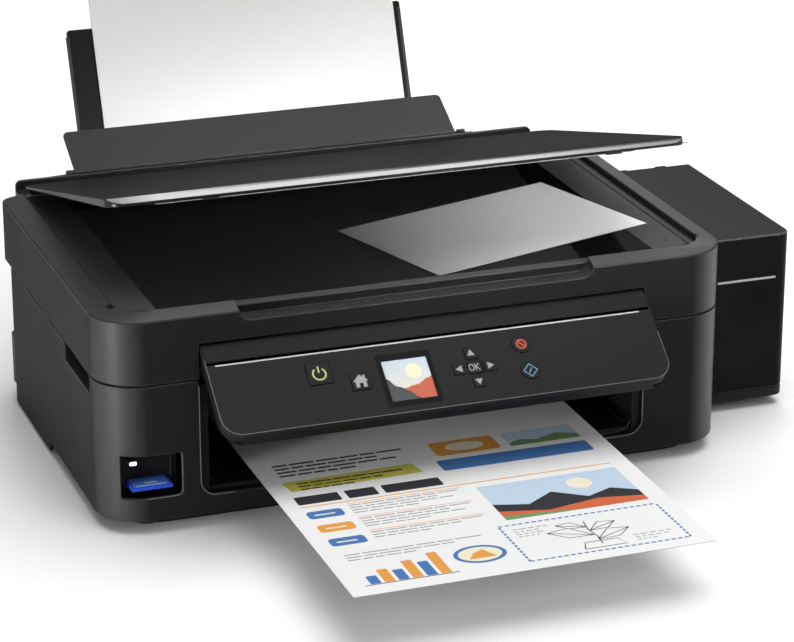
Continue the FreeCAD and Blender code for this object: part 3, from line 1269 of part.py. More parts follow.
manifold = box("manifold", ("plate_end", "plate_end + manifold_thick"), ("plate_front + 4", "plate_back - 1"),
               ("tube_z - 5", "tube_z + 5"))
tubes = [rod("tube_%d" % n, "x", (y, "tube_z"), "tube_round", ("plate_end + manifold_thick - 1", "ink_left"))
         for n, y in enumerate(tube_spots)]
join("ink_tubes", manifold, *tubes)

NODES = (
    "lower_case base_pan rubber_feet case_screws card_reader memory_card power_unit output_frame "
    "output_tray scanner_case scanner_pan scan_glass scan_bar photo_sheet lid_shell lid_mat panel_front "
    "panel_back display key_power key_home key_up key_down key_left key_right key_ok key_stop key_start "
    "feeder_housing pickup_roller feeder_flap paper_support edge_guide blank_sheets printed_sheet "
    "main_frame feed_roller transfer_gear exit_roller motor_pinion feed_motor pinch_roller guide_rail "
    "drive_belt idler_pulley motor_pulley carriage_motor carriage print_head platen capping_station "
    "main_board tank_case tank_cover ink_tanks cap_black cap_cyan cap_magenta cap_yellow ink_tubes"
).split()

doc.recompute()
os.makedirs("parts", exist_ok=True)
for part in doc.Objects:
    if "Invalid" in part.State or "Error" in part.State:
        raise RuntimeError("%s did not build: %s" % (part.Name, part.State))
for name in NODES:
    part = doc.getObject(name)
    part.Label = name
    if part.Shape.isNull() or not part.Shape.isValid():
        raise RuntimeError(name + " has no valid shape")
    part.Shape.exportStep("parts/%s.step" % name)
    print(name, len(part.Shape.Solids), "solids", round(part.Shape.Volume / 1000, 2), "cm3")
print(len(NODES), "nodes")
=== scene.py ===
# %% [markdown]
# An inkjet printer with its scanner lid ajar, a sheet waiting behind it and a page coming out.
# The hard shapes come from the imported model, which also says how each part moves. This lesson
# dresses that model: it softens edges, mixes the finishes, and adds the thin trim, symbols and
# print that are too fine for solids. Everything is in metres, in the model's own frame.

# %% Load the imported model
import json
import math

import bmesh
import bpy
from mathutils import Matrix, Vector


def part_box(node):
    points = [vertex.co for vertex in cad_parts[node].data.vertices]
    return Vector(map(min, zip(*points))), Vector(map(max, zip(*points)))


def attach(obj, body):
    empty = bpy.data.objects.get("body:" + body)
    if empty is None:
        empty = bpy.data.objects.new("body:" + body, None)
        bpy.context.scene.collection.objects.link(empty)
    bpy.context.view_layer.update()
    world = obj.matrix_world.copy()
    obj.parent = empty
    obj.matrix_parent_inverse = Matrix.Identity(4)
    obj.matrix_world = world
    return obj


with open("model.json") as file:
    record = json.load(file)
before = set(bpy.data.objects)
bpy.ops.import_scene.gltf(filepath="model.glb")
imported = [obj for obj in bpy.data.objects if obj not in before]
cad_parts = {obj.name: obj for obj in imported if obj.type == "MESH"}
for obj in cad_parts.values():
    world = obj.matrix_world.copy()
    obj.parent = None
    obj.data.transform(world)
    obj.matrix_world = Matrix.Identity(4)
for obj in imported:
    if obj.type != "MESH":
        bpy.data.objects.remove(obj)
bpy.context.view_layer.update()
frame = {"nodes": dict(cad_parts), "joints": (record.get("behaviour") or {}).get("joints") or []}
nodes = frame["nodes"]

# %% [markdown]
# The machine is easiest to think of from its own case: x from the middle, y back from the front
# face, z up from the table, in millimetres. The case's box gives where that is in the frame, so
# no number has to be copied from the solids.

# %% Places on the case
MM = 0.001
case_low, case_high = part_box("lower_case")
case_mid = (case_low.x + case_high.x) / 2
case_front = case_low.y


def at(x, y, z):
    """A point on the case, from millimetres to the frame's metres."""
    return Vector((case_mid + x * MM, case_front + y * MM, z * MM))


print("case middle", round(case_mid, 4), "front", round(case_front, 4))

# %% [markdown]
# Three parts stand at an angle: the control panel, the lid and the paper behind. Each gets a
# function from its own flat coordinates to the frame, so its trim can be drawn as on a flat sheet.
# The panel and lid take their pivots and angles from the joints.

# %% Places on the tilted parts
joints = {joint["name"]: joint for joint in frame["joints"]}
PANEL_FACE = -7.0
PANEL_TOP = 7.5
PAPER_LEAN = math.radians(21.3)


def pivot_of(name):
    """A hinge's place, and how far the part is turned from straight at rest."""
    joint = joints[name]
    return Vector(joint["pos_m"]), math.radians(joint["range_deg"][0])


def turned(pivot, angle, x, y, z):
    """A point of a part that is turned about the machine's cross axis."""
    cos, sin = math.cos(angle), math.sin(angle)
    back = pivot.y + (y * cos - z * sin) * MM
    up = pivot.z + (y * sin + z * cos) * MM
    return Vector((case_mid + x * MM, back, up))


panel_pivot, panel_turn = pivot_of("panel_tilt")
lid_pivot, lid_turn = pivot_of("lid_hinge")


def on_panel(x, down, out):
    """A point on the control panel: across, down from its top edge, and out of its face."""
    return turned(panel_pivot, panel_turn, x, PANEL_FACE - out, PANEL_TOP - down)


def on_lid(x, y, z):
    """A point of the lid as if it were shut: y from its pivot, z above it."""
    return turned(lid_pivot, lid_turn, x, y, z)


paper_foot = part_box("blank_sheets")[0]


def on_paper(x, up, out):
    """A point on the leaning sheet: across, up its slope, and out of its front face."""
    y = up * math.sin(PAPER_LEAN) - out * math.cos(PAPER_LEAN)
    z = up * math.cos(PAPER_LEAN) + out * math.sin(PAPER_LEAN)
    return Vector((case_mid + x * MM, paper_foot.y + y * MM, paper_foot.z + z * MM))


def on_top(height):
    """Points on a level plane: across, and back from the case's front."""
    return lambda x, y, out: at(x, y, height + out)


def on_front(depth):
    """Points on an upright plane that faces the front: across, and up."""
    return lambda x, z, out: at(x, depth - out, z)


print("panel turned", round(math.degrees(panel_turn), 1), "lid turned", round(math.degrees(lid_turn), 1))

# %% [markdown]
# The camera stands to the front left and a little above. A long lens at a distance keeps the
# upright edges nearly parallel, as in a product picture.

# %% Camera
IMAGE_WIDE = 794
FOCAL_PIXELS = 3013.32
SENSOR_WIDE = 36
CAMERA_SPOT = (-573.8, -1530.3, 721.1)
CAMERA_AIM = (-18.89, 0, 112.37)
camera_data = bpy.data.cameras.new("camera")
camera_data.sensor_fit = "HORIZONTAL"
camera_data.sensor_width = SENSOR_WIDE
camera_data.lens = FOCAL_PIXELS / IMAGE_WIDE * SENSOR_WIDE
camera = bpy.data.objects.new("camera", camera_data)
bpy.context.scene.collection.objects.link(camera)
camera.location = at(*CAMERA_SPOT)
aim = at(*CAMERA_AIM) - camera.location
camera.rotation_euler = aim.to_track_quat("-Z", "Y").to_euler()
bpy.context.scene.camera = camera
print("lens", round(camera_data.lens, 1), "mm at", round(aim.length, 3), "m")

# %% [markdown]
# Finishes are node trees. Wrapping a socket in a small class lets the shader sums read as sums:
# `1 - mask` or `grain * 0.2 + 0.4` each add the Math nodes they need. Any other node comes from
# one method that takes its kind, its settings and what goes into its sockets.

# %% Shader sums
class Flow:
    """What comes out of a node, with arithmetic."""

    def __init__(self, finish, socket):
        self.finish = finish
        self.socket = socket

    def sum(self, operation, first, second):
        return self.finish.node("Math", {"operation": operation}, {0: first, 1: second})

    def __add__(self, other):
        return self.sum("ADD", self, other)

    def __radd__(self, other):
        return self.sum("ADD", other, self)

    def __sub__(self, other):
        return self.sum("SUBTRACT", self, other)

    def __rsub__(self, other):
        return self.sum("SUBTRACT", other, self)

    def __mul__(self, other):
        return self.sum("MULTIPLY", self, other)

    def __rmul__(self, other):
        return self.sum("MULTIPLY", other, self)


class Finish:
    """A material in the making."""

    def __init__(self, name, **constants):
        self.material = bpy.data.materials.new(name)
        self.material.use_nodes = True
        self.tree = self.material.node_tree
        self.shader = self.tree.nodes["Principled BSDF"]
        for socket, value in constants.items():
            self.shader.inputs[socket.replace("_", " ")].default_value = value

    def node(self, kind, settings=None, sockets=None, out=0):
        node = self.tree.nodes.new("ShaderNode" + kind)
        for name, value in (settings or {}).items():
            if name == "stops":
                ramp = node.color_ramp.elements
                for n, (place, colour) in enumerate(value):
                    stop = ramp[n] if n < len(ramp) else ramp.new(place)
                    stop.position = place
                    stop.color = colour
            else:
                setattr(node, name, value)
        for key, value in (sockets or {}).items():
            self.feed(node.inputs[key], value)
        return Flow(self, node.outputs[out])

    def feed(self, socket, value):
        if isinstance(value, Flow):
            self.tree.links.new(value.socket, socket)
        else:
            socket.default_value = value

    def give(self, name, value):
        """Feed one of the surface shader's own sockets."""
        self.feed(self.shader.inputs[name], value)

    def place(self, scale=(1, 1, 1)):
        """Where on the piece: its own coordinates, stretched."""
        spot = self.node("TexCoord", out=3)
        return self.node("Mapping", None, {"Vector": spot, "Scale": scale})

    def noise(self, size, detail=2.0, stretch=(1, 1, 1)):
        """Smooth noise whose lumps are about size millimetres."""
        scale = tuple(s / (size * MM) for s in stretch)
        sockets = {"Vector": self.place(scale), "Scale": 1.0, "Detail": detail, "Roughness": 0.55}
        return self.node("TexNoise", None, sockets)

    def blend(self, factor, first, second):
        """A colour between two colours."""
        return self.node("Mix", {"data_type": "RGBA"}, {0: factor, 6: first, 7: second}, out=2)

    def ramp(self, value, *stops):
        """A colour that changes along a number."""
        return self.node("ValToRGB", {"stops": stops}, {"Fac": value})

    def span(self, value, low, high):
        """How far a number has come from low to high, held between 0 and 1."""
        return self.node("MapRange", {"clamp": True}, {"Value": value, "From Min": low, "From Max": high})

    def bump(self, height, depth, strength=1.0):
        """Tilt the surface by a height map that is depth millimetres deep."""
        sockets = {"Height": height, "Distance": depth * MM, "Strength": strength}
        self.give("Normal", self.node("Bump", None, sockets))


def rgb(*tone):
    """A colour from one grey value or from three."""
    values = tone * 3 if len(tone) == 1 else tone
    return (*values, 1.0)


def shades(tone, dark, light):
    """A darker and a lighter colour of one tone."""
    return rgb(*[c * dark for c in tone]), rgb(*[c * light for c in tone])


print("shader sums ready")

# %% [markdown]
# Most of the machine is moulded plastic. A mould is spark-textured, so the plastic has a fine
# pebble in its bump, its colour drifts a little, and handling polishes it unevenly. One recipe
# with a few settings gives every plastic here, and a smoother copy of it goes on the rounded
# edges, where the texture wears off first. That copy is also lighter in colour: a painted highlight.

# %% Moulded plastic
CLOUD_SIZE = 45


def moulded(name, tone, rough, grain=0.5, depth=0.02, specular=0.15, drift=0.12):
    """Plastic from a textured mould."""
    finish = Finish(name, Specular_IOR_Level=specular)
    cloud = finish.noise(CLOUD_SIZE, 3)
    pebble = finish.noise(grain, 2)
    finish.give("Base Color", finish.blend(cloud * 0.6 + pebble * 0.4, *shades(tone, 1 - drift, 1 + drift)))
    finish.give("Roughness", cloud * 0.10 + pebble * 0.10 + (rough - 0.10))
    finish.bump(pebble, depth)
    return finish.material


def pair(name, tone, rough, highlight_lift=1.5, **more):
    """A plastic, and a copy for its edges: smoother where they have worn, and lighter as a painted
    highlight.
    """
    # Painted highlight: the edge copy's colour is lifted by highlight_lift.
    edge_highlight_tone = [min(1.0, c * highlight_lift + 0.004) for c in tone]
    worn_rough = max(0.2, rough - 0.12)
    return moulded(name, tone, rough, **more), moulded(name + "_edge", edge_highlight_tone, worn_rough, **more)


finishes = {
    "charcoal": pair("charcoal", (0.0105, 0.0105, 0.011), 0.46, highlight_lift=1.6, specular=0.13),
    "flap_grey": pair("flap_grey", (0.028, 0.028, 0.029), 0.6, highlight_lift=1.3, specular=0.1),
    "black": pair("black", (0.005, 0.005, 0.0053), 0.5, specular=0.12),
    "bed_grey": pair("bed_grey", (0.06, 0.06, 0.061), 0.6, specular=0.03),
    "mid_grey": pair("mid_grey", (0.04, 0.04, 0.041), 0.5),
    "lip_grey": pair("lip_grey", (0.10, 0.10, 0.10), 0.45),
    "white": pair("white", (0.78, 0.78, 0.76), 0.5, highlight_lift=1.02, drift=0.03),
    "acetal": pair("acetal", (0.72, 0.71, 0.66), 0.4, highlight_lift=1.05, drift=0.03),
    "milky": pair("milky", (0.74, 0.77, 0.79), 0.3, highlight_lift=1.05, drift=0.03, depth=0.004),
    "tubing": pair("tubing", (0.55, 0.57, 0.58), 0.25, highlight_lift=1.1, depth=0.004),
    "rubber": pair("rubber", (0.018, 0.018, 0.018), 0.8, grain=0.9, depth=0.04, specular=0.15),
    "card_blue": pair("card_blue", (0.012, 0.05, 0.42), 0.32, highlight_lift=1.3, depth=0.004),
    "board_green": pair("board_green", (0.02, 0.14, 0.05), 0.4, highlight_lift=1.2),
    "stopper_black": pair("stopper_black", (0.015, 0.015, 0.015), 0.4),
    "stopper_blue": pair("stopper_blue", (0.015, 0.28, 0.6), 0.4, highlight_lift=1.2),
    "stopper_red": pair("stopper_red", (0.5, 0.02, 0.2), 0.4, highlight_lift=1.2),
    "stopper_yellow": pair("stopper_yellow", (0.8, 0.62, 0.02), 0.4, highlight_lift=1.1),
}
print("plastics:", len(finishes))

# %% [markdown]
# The lid and the tank box are shinier: their tops are satin and their fronts polished. The
# surface's own direction decides which, so one finish serves the whole piece. It decides the colour
# too, as painted light and shade: the tank's top is lighter than its dark front, and the lid's front
# edge lighter than its top. The lid's sloped front edge is the brightest line on the machine,
# because it mirrors the light behind, and it fades towards the lid's ends. The case's rim and
# round corners are polished by hands, and the rim is painted a lighter colour as a highlight.

# %% Gloss that depends on which way a face looks
def glossy(name, top_tone, front_tone, axis, matte, shiny, front_rough, coat, fade=None):
    """A matte top and lacquered fronts in one finish, told apart by the face's direction, which also sets
    painted light and shade in the colour.
    """
    finish = Finish(name, Specular_IOR_Level=0.02, Coat_Roughness=front_rough)
    facing = finish.node("TexCoord", out=1)
    lean = finish.node("SeparateXYZ", None, {"Vector": facing}, out=axis)
    front = finish.span(lean, matte, shiny)
    smear = finish.noise(60, 4)
    pebble = finish.noise(0.6, 2)
    # Painted light and shade: top and front colours differ by which way the face looks.
    finish.give("Base Color", finish.blend(front, rgb(*top_tone), rgb(*front_tone)))
    finish.give("Roughness", 0.62 - front * 0.3 + smear * 0.06)
    sheen = front * (smear * 0.2 + (coat - 0.1))
    for full, none in fade or ():
        across = finish.node("SeparateXYZ", None, {"Vector": finish.place()})
        sheen = sheen * finish.span(across, none, full)
    finish.give("Coat Weight", sheen)
    finish.bump(pebble * (1 - front), 0.02)
    return finish.material


def polished(name, tone, rough, specular=0.5):
    """Plain gloss with faint smears from wiping."""
    finish = Finish(name, Specular_IOR_Level=specular)
    smear = finish.noise(40, 4, (1, 3, 3))
    finish.give("Base Color", finish.blend(smear, *shades(tone, 0.9, 1.1)))
    finish.give("Roughness", smear * 0.12 + rough)
    finish.bump(smear, 0.01, 0.3)
    return finish.material


def handled(name, tone, rim_highlight_tone):
    """Case plastic that hands have polished on its sloping rim and its round upright corners; the rim's
    lighter colour is a painted highlight.
    """
    finish = Finish(name, Specular_IOR_Level=0.05, Coat_Roughness=0.4)
    facing = finish.node("TexCoord", out=1)
    parts = [finish.node("SeparateXYZ", None, {"Vector": facing}, out=n) for n in range(3)]
    rim = finish.span(parts[2], 0.15, 0.55)
    turn = finish.node("Math", {"operation": "ABSOLUTE"}, {0: parts[0] * parts[1]})
    corner = finish.span(turn, 0.08, 0.42)
    cloud = finish.noise(CLOUD_SIZE, 3)
    pebble = finish.noise(0.5, 2)
    # Painted highlight: faces that look up take the lighter rim colour.
    finish.give("Base Color", finish.blend(rim, rgb(*tone), rgb(*rim_highlight_tone)))
    finish.give("Roughness", cloud * 0.1 + pebble * 0.1 + 0.45)
    finish.give("Coat Weight", rim * 0.6 + corner * (cloud * 0.2 + 0.8))
    finish.bump(pebble, 0.015)
    return finish.material


lid_low, lid_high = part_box("lid_shell")
finishes["case"] = (
    handled("case", (0.011, 0.011, 0.0115), (0.024, 0.024, 0.0245)),
    finishes["charcoal"][1],
)
# The tank's edge finish is lighter than its front, and the screen's than the screen: painted highlights.
finishes["tank_gloss"] = (
    glossy("tank_gloss", (0.026, 0.026, 0.027), (0.003, 0.003, 0.003), 2, 0.9, 0.5, 0.06, 0.12),
    polished("tank_gloss_edge", (0.03, 0.03, 0.031), 0.3, 0.3),
)
finishes["lid_gloss"] = (
    glossy("lid_gloss", (0.011, 0.011, 0.0115), (0.02, 0.02, 0.02), 1, 0.16, 0.04, 0.22, 0.9,
           fade=((lid_low.x + 0.03, lid_low.x - 0.01), (lid_high.x - 0.12, lid_high.x + 0.06))),
    polished("lid_gloss_edge", (0.012, 0.012, 0.012), 0.45, 0.08),
)
finishes["screen_black"] = (
    polished("screen_black", (0.004, 0.004, 0.0045), 0.3, 0.05),
    polished("screen_black_edge", (0.008, 0.008, 0.008), 0.3, 0.1),
)
print("gloss finishes mixed")

# %% [markdown]
# Metal parts are drawn or rolled, which leaves fine lines along the piece: noise stretched a
# hundredfold does that. The panel's film has the same kind of hairline in a dark grey.

# %% Brushed finishes
def brushed(name, tone, rough, metallic, stretch=0.02, specular=0.5):
    """Lines along x in colour, roughness and bump."""
    finish = Finish(name, Metallic=metallic, Specular_IOR_Level=specular)
    line = finish.noise(0.25, 3, (stretch, 1, 1))
    cloud = finish.noise(70, 2)
    finish.give("Base Color", finish.blend(line, *shades(tone, 0.78, 1.22)))
    finish.give("Roughness", line * 0.12 + cloud * 0.08 + (rough - 0.1))
    finish.bump(line, 0.003)
    return finish.material


def brushed_pair(name, tone, rough, metallic, **more):
    """A brushed surface, and its edges painted brighter as a highlight."""
    # Painted highlight on the edges.
    bright = [min(1.0, c * 1.3) for c in tone]
    plain = brushed(name, tone, rough, metallic, **more)
    return plain, brushed(name + "_edge", bright, rough, metallic, **more)


finishes["steel"] = brushed_pair("steel", (0.52, 0.53, 0.54), 0.35, 1.0)
finishes["brass"] = brushed_pair("brass", (0.62, 0.45, 0.18), 0.3, 1.0)
finishes["silver"] = brushed_pair("silver", (0.36, 0.36, 0.36), 0.45, 0.3)
FILM = (0.0105, 0.0105, 0.011)
finishes["panel_film"] = brushed_pair("panel_film", FILM, 0.45, 0.0, stretch=0.015, specular=0.08)
finishes["key_film"] = finishes["panel_film"][:1] * 2
finishes["panel_rim"] = brushed_pair("panel_rim", (0.05, 0.05, 0.05), 0.4, 0.1)
print("brushed finishes mixed")

# %% [markdown]
# Paper is a felt of fibres: nearly white, slightly cloudy when light grazes it, and never glossy.
# The original on the glass is a coated sheet whose colour fades from dark grey at its left end to
# white at its right.

# %% Paper, coated sheet and glass
def paper(name, tone, rough):
    """Plain uncoated paper."""
    finish = Finish(name, Specular_IOR_Level=0.2)
    cloud = finish.noise(12, 4)
    felt = finish.noise(0.5, 3, (1, 0.4, 1))
    finish.give("Base Color", finish.blend(cloud, *shades(tone, 0.97, 1)))
    finish.give("Roughness", felt * 0.1 + (rough - 0.05))
    finish.bump(felt, 0.008)
    return finish.material


def toned_sheet(name, low_x, high_x, dark, light):
    """A coated sheet that fades from dark at one end to light at the other."""
    finish = Finish(name, Specular_IOR_Level=0.3)
    across = finish.node("SeparateXYZ", None, {"Vector": finish.place()})
    share = finish.span(across, low_x, high_x)
    felt = finish.noise(1.5, 3)
    tone = finish.ramp(share, (0.0, rgb(dark)), (0.45, rgb((dark + light) * 0.4)), (1.0, rgb(light)))
    finish.give("Base Color", finish.blend(felt * 0.04, tone, rgb(0.5)))
    finish.give("Roughness", felt * 0.08 + 0.3)
    finish.bump(felt, 0.004)
    return finish.material


def dark_glass(name):
    """Glass over a dark well, so it is nearly black and lets a little through."""
    finish = Finish(name, Specular_IOR_Level=0.2, Alpha=0.65)
    smear = finish.noise(80, 4, (1, 2, 1))
    finish.give("Base Color", finish.blend(smear, rgb(0.003, 0.0032, 0.0033), rgb(0.005, 0.0055, 0.0055)))
    finish.give("Roughness", smear * 0.06 + 0.04)
    finish.bump(smear, 0.002, 0.2)
    return finish.material


sheet_low, sheet_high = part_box("photo_sheet")
plain_paper = paper("plain_paper", (0.76, 0.76, 0.755), 0.75)
finishes["paper"] = (plain_paper, plain_paper)
coated = toned_sheet("coated_sheet", sheet_low.x, sheet_high.x, 0.10, 0.95)
finishes["coated_sheet"] = (coated, coated)
# The glass's edge finish is lighter than the glass: a painted highlight.
finishes["glass"] = (dark_glass("scan_glass"), polished("glass_edge", (0.01, 0.016, 0.015), 0.2))
print("papers and glass mixed")

# %% [markdown]
# Each solid of the model keeps its shape and gets a finish. Real edges are never sharp, and an
# edge with no radius catches no light, so a stack of modifiers rounds them: weld the copied
# corners, merge flat triangles, bevel what is sharper than 32 degrees, and even out the normals.
# The bevel's own faces take the edge finish, whose lighter colour is a painted highlight. The solids
# themselves aren't touched.

# %% Dress the solids
# Each name stands with its edge radius in millimetres.
DRESS = {
    "charcoal": "feeder_housing:0.6 power_unit:0.6 tank_case:0.5",
    "case": "lower_case:0.7 scanner_case:0.8",
    "lid_gloss": "lid_shell:0.5",
    "flap_grey": "feeder_flap:0.5",
    "black": "base_pan:0.5 card_reader:0.3 output_frame:0.4 output_tray:0.4 scanner_pan:0.3 scan_bar:0.3 "
             "panel_back:0.8 platen:0.3 carriage:0.4 edge_guide:0.3 paper_support:0.5 print_head:0.2",
    "mid_grey": "capping_station:0.3",
    "rubber": "rubber_feet:0.5 exit_roller:0.2 pinch_roller:0.2 pickup_roller:0.3 drive_belt:0.1",
    "steel": "case_screws:0.15 main_frame:0.2 guide_rail:0.2 feed_motor:0.5 carriage_motor:0.5 "
             "feed_roller:0.15",
    "brass": "motor_pinion:0.1 motor_pulley:0.2",
    "acetal": "transfer_gear:0.12 idler_pulley:0.2",
    "card_blue": "memory_card:0.25",
    "glass": "scan_glass:0.2",
    "coated_sheet": "photo_sheet:0",
    "paper": "blank_sheets:0 printed_sheet:0",
    "white": "lid_mat:0.6",
    "panel_film": "panel_front:0.12",
    "key_film": "key_power:0.12 key_home:0.1 key_up:0.05 key_down:0.05 key_left:0.05 key_right:0.05 "
                "key_ok:0.05 key_stop:0.08 key_start:0.08",
    "screen_black": "display:0.15",
    "board_green": "main_board:0.15",
    "tank_gloss": "tank_cover:0.9",
    "milky": "ink_tanks:0.5",
    "tubing": "ink_tubes:0.2",
    "stopper_black": "cap_black:0.5",
    "stopper_blue": "cap_cyan:0.5",
    "stopper_red": "cap_magenta:0.5",
    "stopper_yellow": "cap_yellow:0.5",
}


def soften(piece, radius, clean=True):
    """Round a piece's sharp edges with modifiers."""
    for polygon in piece.data.polygons:
        polygon.use_smooth = True
    if clean:
        weld = piece.modifiers.new("weld", "WELD")
        weld.merge_threshold = 2e-6
        flat = piece.modifiers.new("flat", "DECIMATE")
        flat.decimate_type = "DISSOLVE"
        flat.angle_limit = math.radians(0.4)
    if radius > 0:
        bevel = piece.modifiers.new("bevel", "BEVEL")
        bevel.width = radius * MM
        bevel.segments = 2
        bevel.limit_method = "ANGLE"
        bevel.angle_limit = math.radians(32)
        bevel.use_clamp_overlap = False
        # Bevel faces take slot 1, the edge finish, painted lighter as a highlight.
        bevel.material = 1
        bevel.miter_outer = "MITER_ARC"
    even = piece.modifiers.new("even", "WEIGHTED_NORMAL")
    even.keep_sharp = False
    even.weight = 100


def coat(piece, finish):
    """Give a piece a finish and its edge twin; a lighter twin is a painted highlight."""
    piece.data.materials.clear()
    for material in finishes[finish]:
        piece.data.materials.append(material)


dressed = 0
for finish, words in DRESS.items():
    for word in words.split():
        name, radius = word.split(":")
        coat(nodes[name], finish)
        soften(nodes[name], float(radius))
        dressed += 1
print("dressed", dressed, "of", len(nodes))

# %% [markdown]
# Trim, symbols and print are thin shapes on a surface. Three builders make them all: a plate from
# an outline, a frame between two outlines, and a bead that follows a line. Each takes a function
# that carries flat coordinates to the part it sits on.

# %% Builders for thin shapes
def make(name, points, faces, body, slot, finish, soft=0.0):
    """A mesh piece that rides on a body."""
    mesh = bpy.data.meshes.new(name)
    mesh.from_pydata([tuple(p) for p in points], [], faces)
    form = bmesh.new()
    form.from_mesh(mesh)
    bmesh.ops.recalc_face_normals(form, faces=form.faces)
    form.to_mesh(mesh)
    form.free()
    piece = bpy.data.objects.new(name, mesh)
    bpy.context.scene.collection.objects.link(piece)
    coat(piece, finish)
    if soft > 0:
        soften(piece, soft, clean=False)
    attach(piece, body)
    return piece


def rounded(left, right, low, high, radius, steps=6):
    """The outline of a rectangle with round corners."""
    middles = ((right - radius, high - radius, 0), (left + radius, high - radius, 90),
               (left + radius, low + radius, 180), (right - radius, low + radius, 270))
    outline = []
    for x, y, start in middles:
        for step in range(steps + 1):
            angle = math.radians(start + 90 * step / steps)
            outline.append((x + radius * math.cos(angle), y + radius * math.sin(angle)))
    return outline


def oval(x, y, wide, tall, steps=32, start=0.0, sweep=360.0):
    """Points round an ellipse, or along part of it."""
    count = steps if sweep == 360.0 else steps + 1
    angles = [math.radians(start + sweep * n / steps) for n in range(count)]
    return [(x + wide / 2 * math.cos(a), y + tall / 2 * math.sin(a)) for a in angles]


def plate_mesh(outline, put, low, high):
    """Points and faces of a flat plate."""
    count = len(outline)
    points = [put(u, v, low) for u, v in outline] + [put(u, v, high) for u, v in outline]
    faces = [tuple(range(count)), tuple(range(count, 2 * count))]
    faces += [(n, (n + 1) % count, count + (n + 1) % count, count + n) for n in range(count)]
    return points, faces


def frame_mesh(outer, inner, put, low, high):
    """Points and faces of a flat ring between two outlines of as many points."""
    count = len(outer)
    rings = ((outer, low), (inner, low), (inner, high), (outer, high))
    points = [put(u, v, level) for line, level in rings for u, v in line]
    faces = []
    for ring in range(4):
        one, two = ring * count, (ring + 1) % 4 * count
        faces += [(one + n, one + (n + 1) % count, two + (n + 1) % count, two + n) for n in range(count)]
    return points, faces


def bead_mesh(path, width, put, low, high, closed=False):
    """Points and faces of a flat bead along a line."""
    count = len(path)
    left, right = [], []
    for n, (u, v) in enumerate(path):
        before = path[n - 1] if n or closed else path[0]
        after = path[(n + 1) % count] if n < count - 1 or closed else path[-1]
        du, dv = after[0] - before[0], after[1] - before[1]
        size = math.hypot(du, dv) or 1.0
        ou, ov = -dv / size * width / 2, du / size * width / 2
        left.append((u + ou, v + ov))
        right.append((u - ou, v - ov))
    if closed:
        return frame_mesh(left, right, put, low, high)
    return plate_mesh(left + right[::-1], put, low, high)


def merged(*meshes):
    """Several meshes as one list of points and faces."""
    points, faces = [], []
    for more, polygons in meshes:
        faces += [tuple(n + len(points) for n in polygon) for polygon in polygons]
        points += more
    return points, faces


print("builders ready")

# %% [markdown]
# The control panel's film is crossed by a thin silver strip, and a paler edge runs round its
# sides and lower corners: a bead of lighter grey that is a painted highlight. Above the strip the
# panel rolls back into the case, so a shallow curved brow sits there. All of it rides on the
# panel and tilts with it.

# %% Panel strip, brow and paler edge
PANEL_HALF = 137.0
PANEL_LOW = 61.0
PANEL_CORNER = 12.0
strip = plate_mesh(rounded(-131.5, 129.5, 14.6, 15.5, 0.4), on_panel, -0.1, 0.3)
make("panel_strip", *strip, "panel", "steel", "silver", 0.12)

BROW = [(0.25, 0.0), (0.9, 0.45), (2.4, 0.8), (4.6, 0.9), (7.6, 0.7), (11.0, 0.35), (14.3, 0.02)]
BROW_HALF = PANEL_HALF - 0.8
count = len(BROW)
brow_points = [on_panel(x, down, out) for x in (-BROW_HALF, BROW_HALF) for down, out in BROW]
brow_faces = [(n, n + 1, count + n + 1, count + n) for n in range(count - 1)]
brow_faces += [tuple(range(count)), tuple(range(count, 2 * count)), (0, count - 1, 2 * count - 1, count)]
brow = make("panel_brow", brow_points, brow_faces, "panel", "panel_film", "panel_film")
soften(brow, 0.0, clean=False)

EDGE_IN = 0.35
bend_x = PANEL_HALF - PANEL_CORNER
bend_v = PANEL_LOW - PANEL_CORNER
bend = 2 * PANEL_CORNER - 2 * EDGE_IN
edge = [(-PANEL_HALF + EDGE_IN, 10.5), (-PANEL_HALF + EDGE_IN, bend_v)]
edge += oval(-bend_x, bend_v, bend, bend, 10, 180, -90) + oval(bend_x, bend_v, bend, bend, 10, 90, -90)
edge += [(PANEL_HALF - EDGE_IN, bend_v), (PANEL_HALF - EDGE_IN, 30.0)]
# The paler edge is a painted highlight: a bead of lighter grey.
edge_bead = bead_mesh(edge, 0.55, on_panel, -0.25, 0.12)
make("panel_bright_edge", *edge_bead, "panel", "panel_film", "panel_rim", 0.08)
print("panel trim made")

# %% [markdown]
# The buttons carry small printed symbols. Each symbol rides on its own button so it sinks with it.
# A lit symbol glows a little: its colour goes to the emission as well as the base.

# %% Inks and lights for the symbols
def ink(name, tone, rough=0.5, glow=0.0):
    """A flat printed colour, lit from within where it glows."""
    finish = Finish(name, Specular_IOR_Level=0.2)
    cloud = finish.noise(4, 3)
    colour = finish.blend(cloud, *shades(tone, 0.9, 1))
    finish.give("Base Color", colour)
    finish.give("Roughness", cloud * 0.1 + (rough - 0.05))
    if glow:
        finish.give("Emission Color", colour)
        finish.give("Emission Strength", glow)
    finishes[name] = (finish.material, finish.material)


ink("symbol_green", (0.34, 0.44, 0.16), glow=0.12)
ink("symbol_white", (0.28, 0.28, 0.27), glow=0.02)
ink("symbol_red", (0.36, 0.06, 0.03), glow=0.04)
ink("symbol_blue", (0.12, 0.26, 0.36), glow=0.03)
ink("light_white", (0.95, 0.97, 0.9), glow=1.6)
print("symbol inks mixed")

# %% Symbols on the buttons
PROUD = 0.5
LOW, HIGH = PROUD - 0.02, PROUD + 0.07


def symbol(name, body, finish, *meshes):
    """One symbol, made of several flat shapes."""
    make(name, *merged(*meshes), body, "key_plastic", finish)


def moved(path, x, y):
    """A shape drawn upwards, set at a place on the panel."""
    return [(u + x, y - v) for u, v in path]


def dash(path, width, x, y, closed=False):
    """A line of a symbol."""
    return bead_mesh(moved(path, x, y), width, on_panel, LOW, HIGH, closed)


def shape(path, x, y):
    """A filled outline of a symbol."""
    return plate_mesh(moved(path, x, y), on_panel, LOW, HIGH)


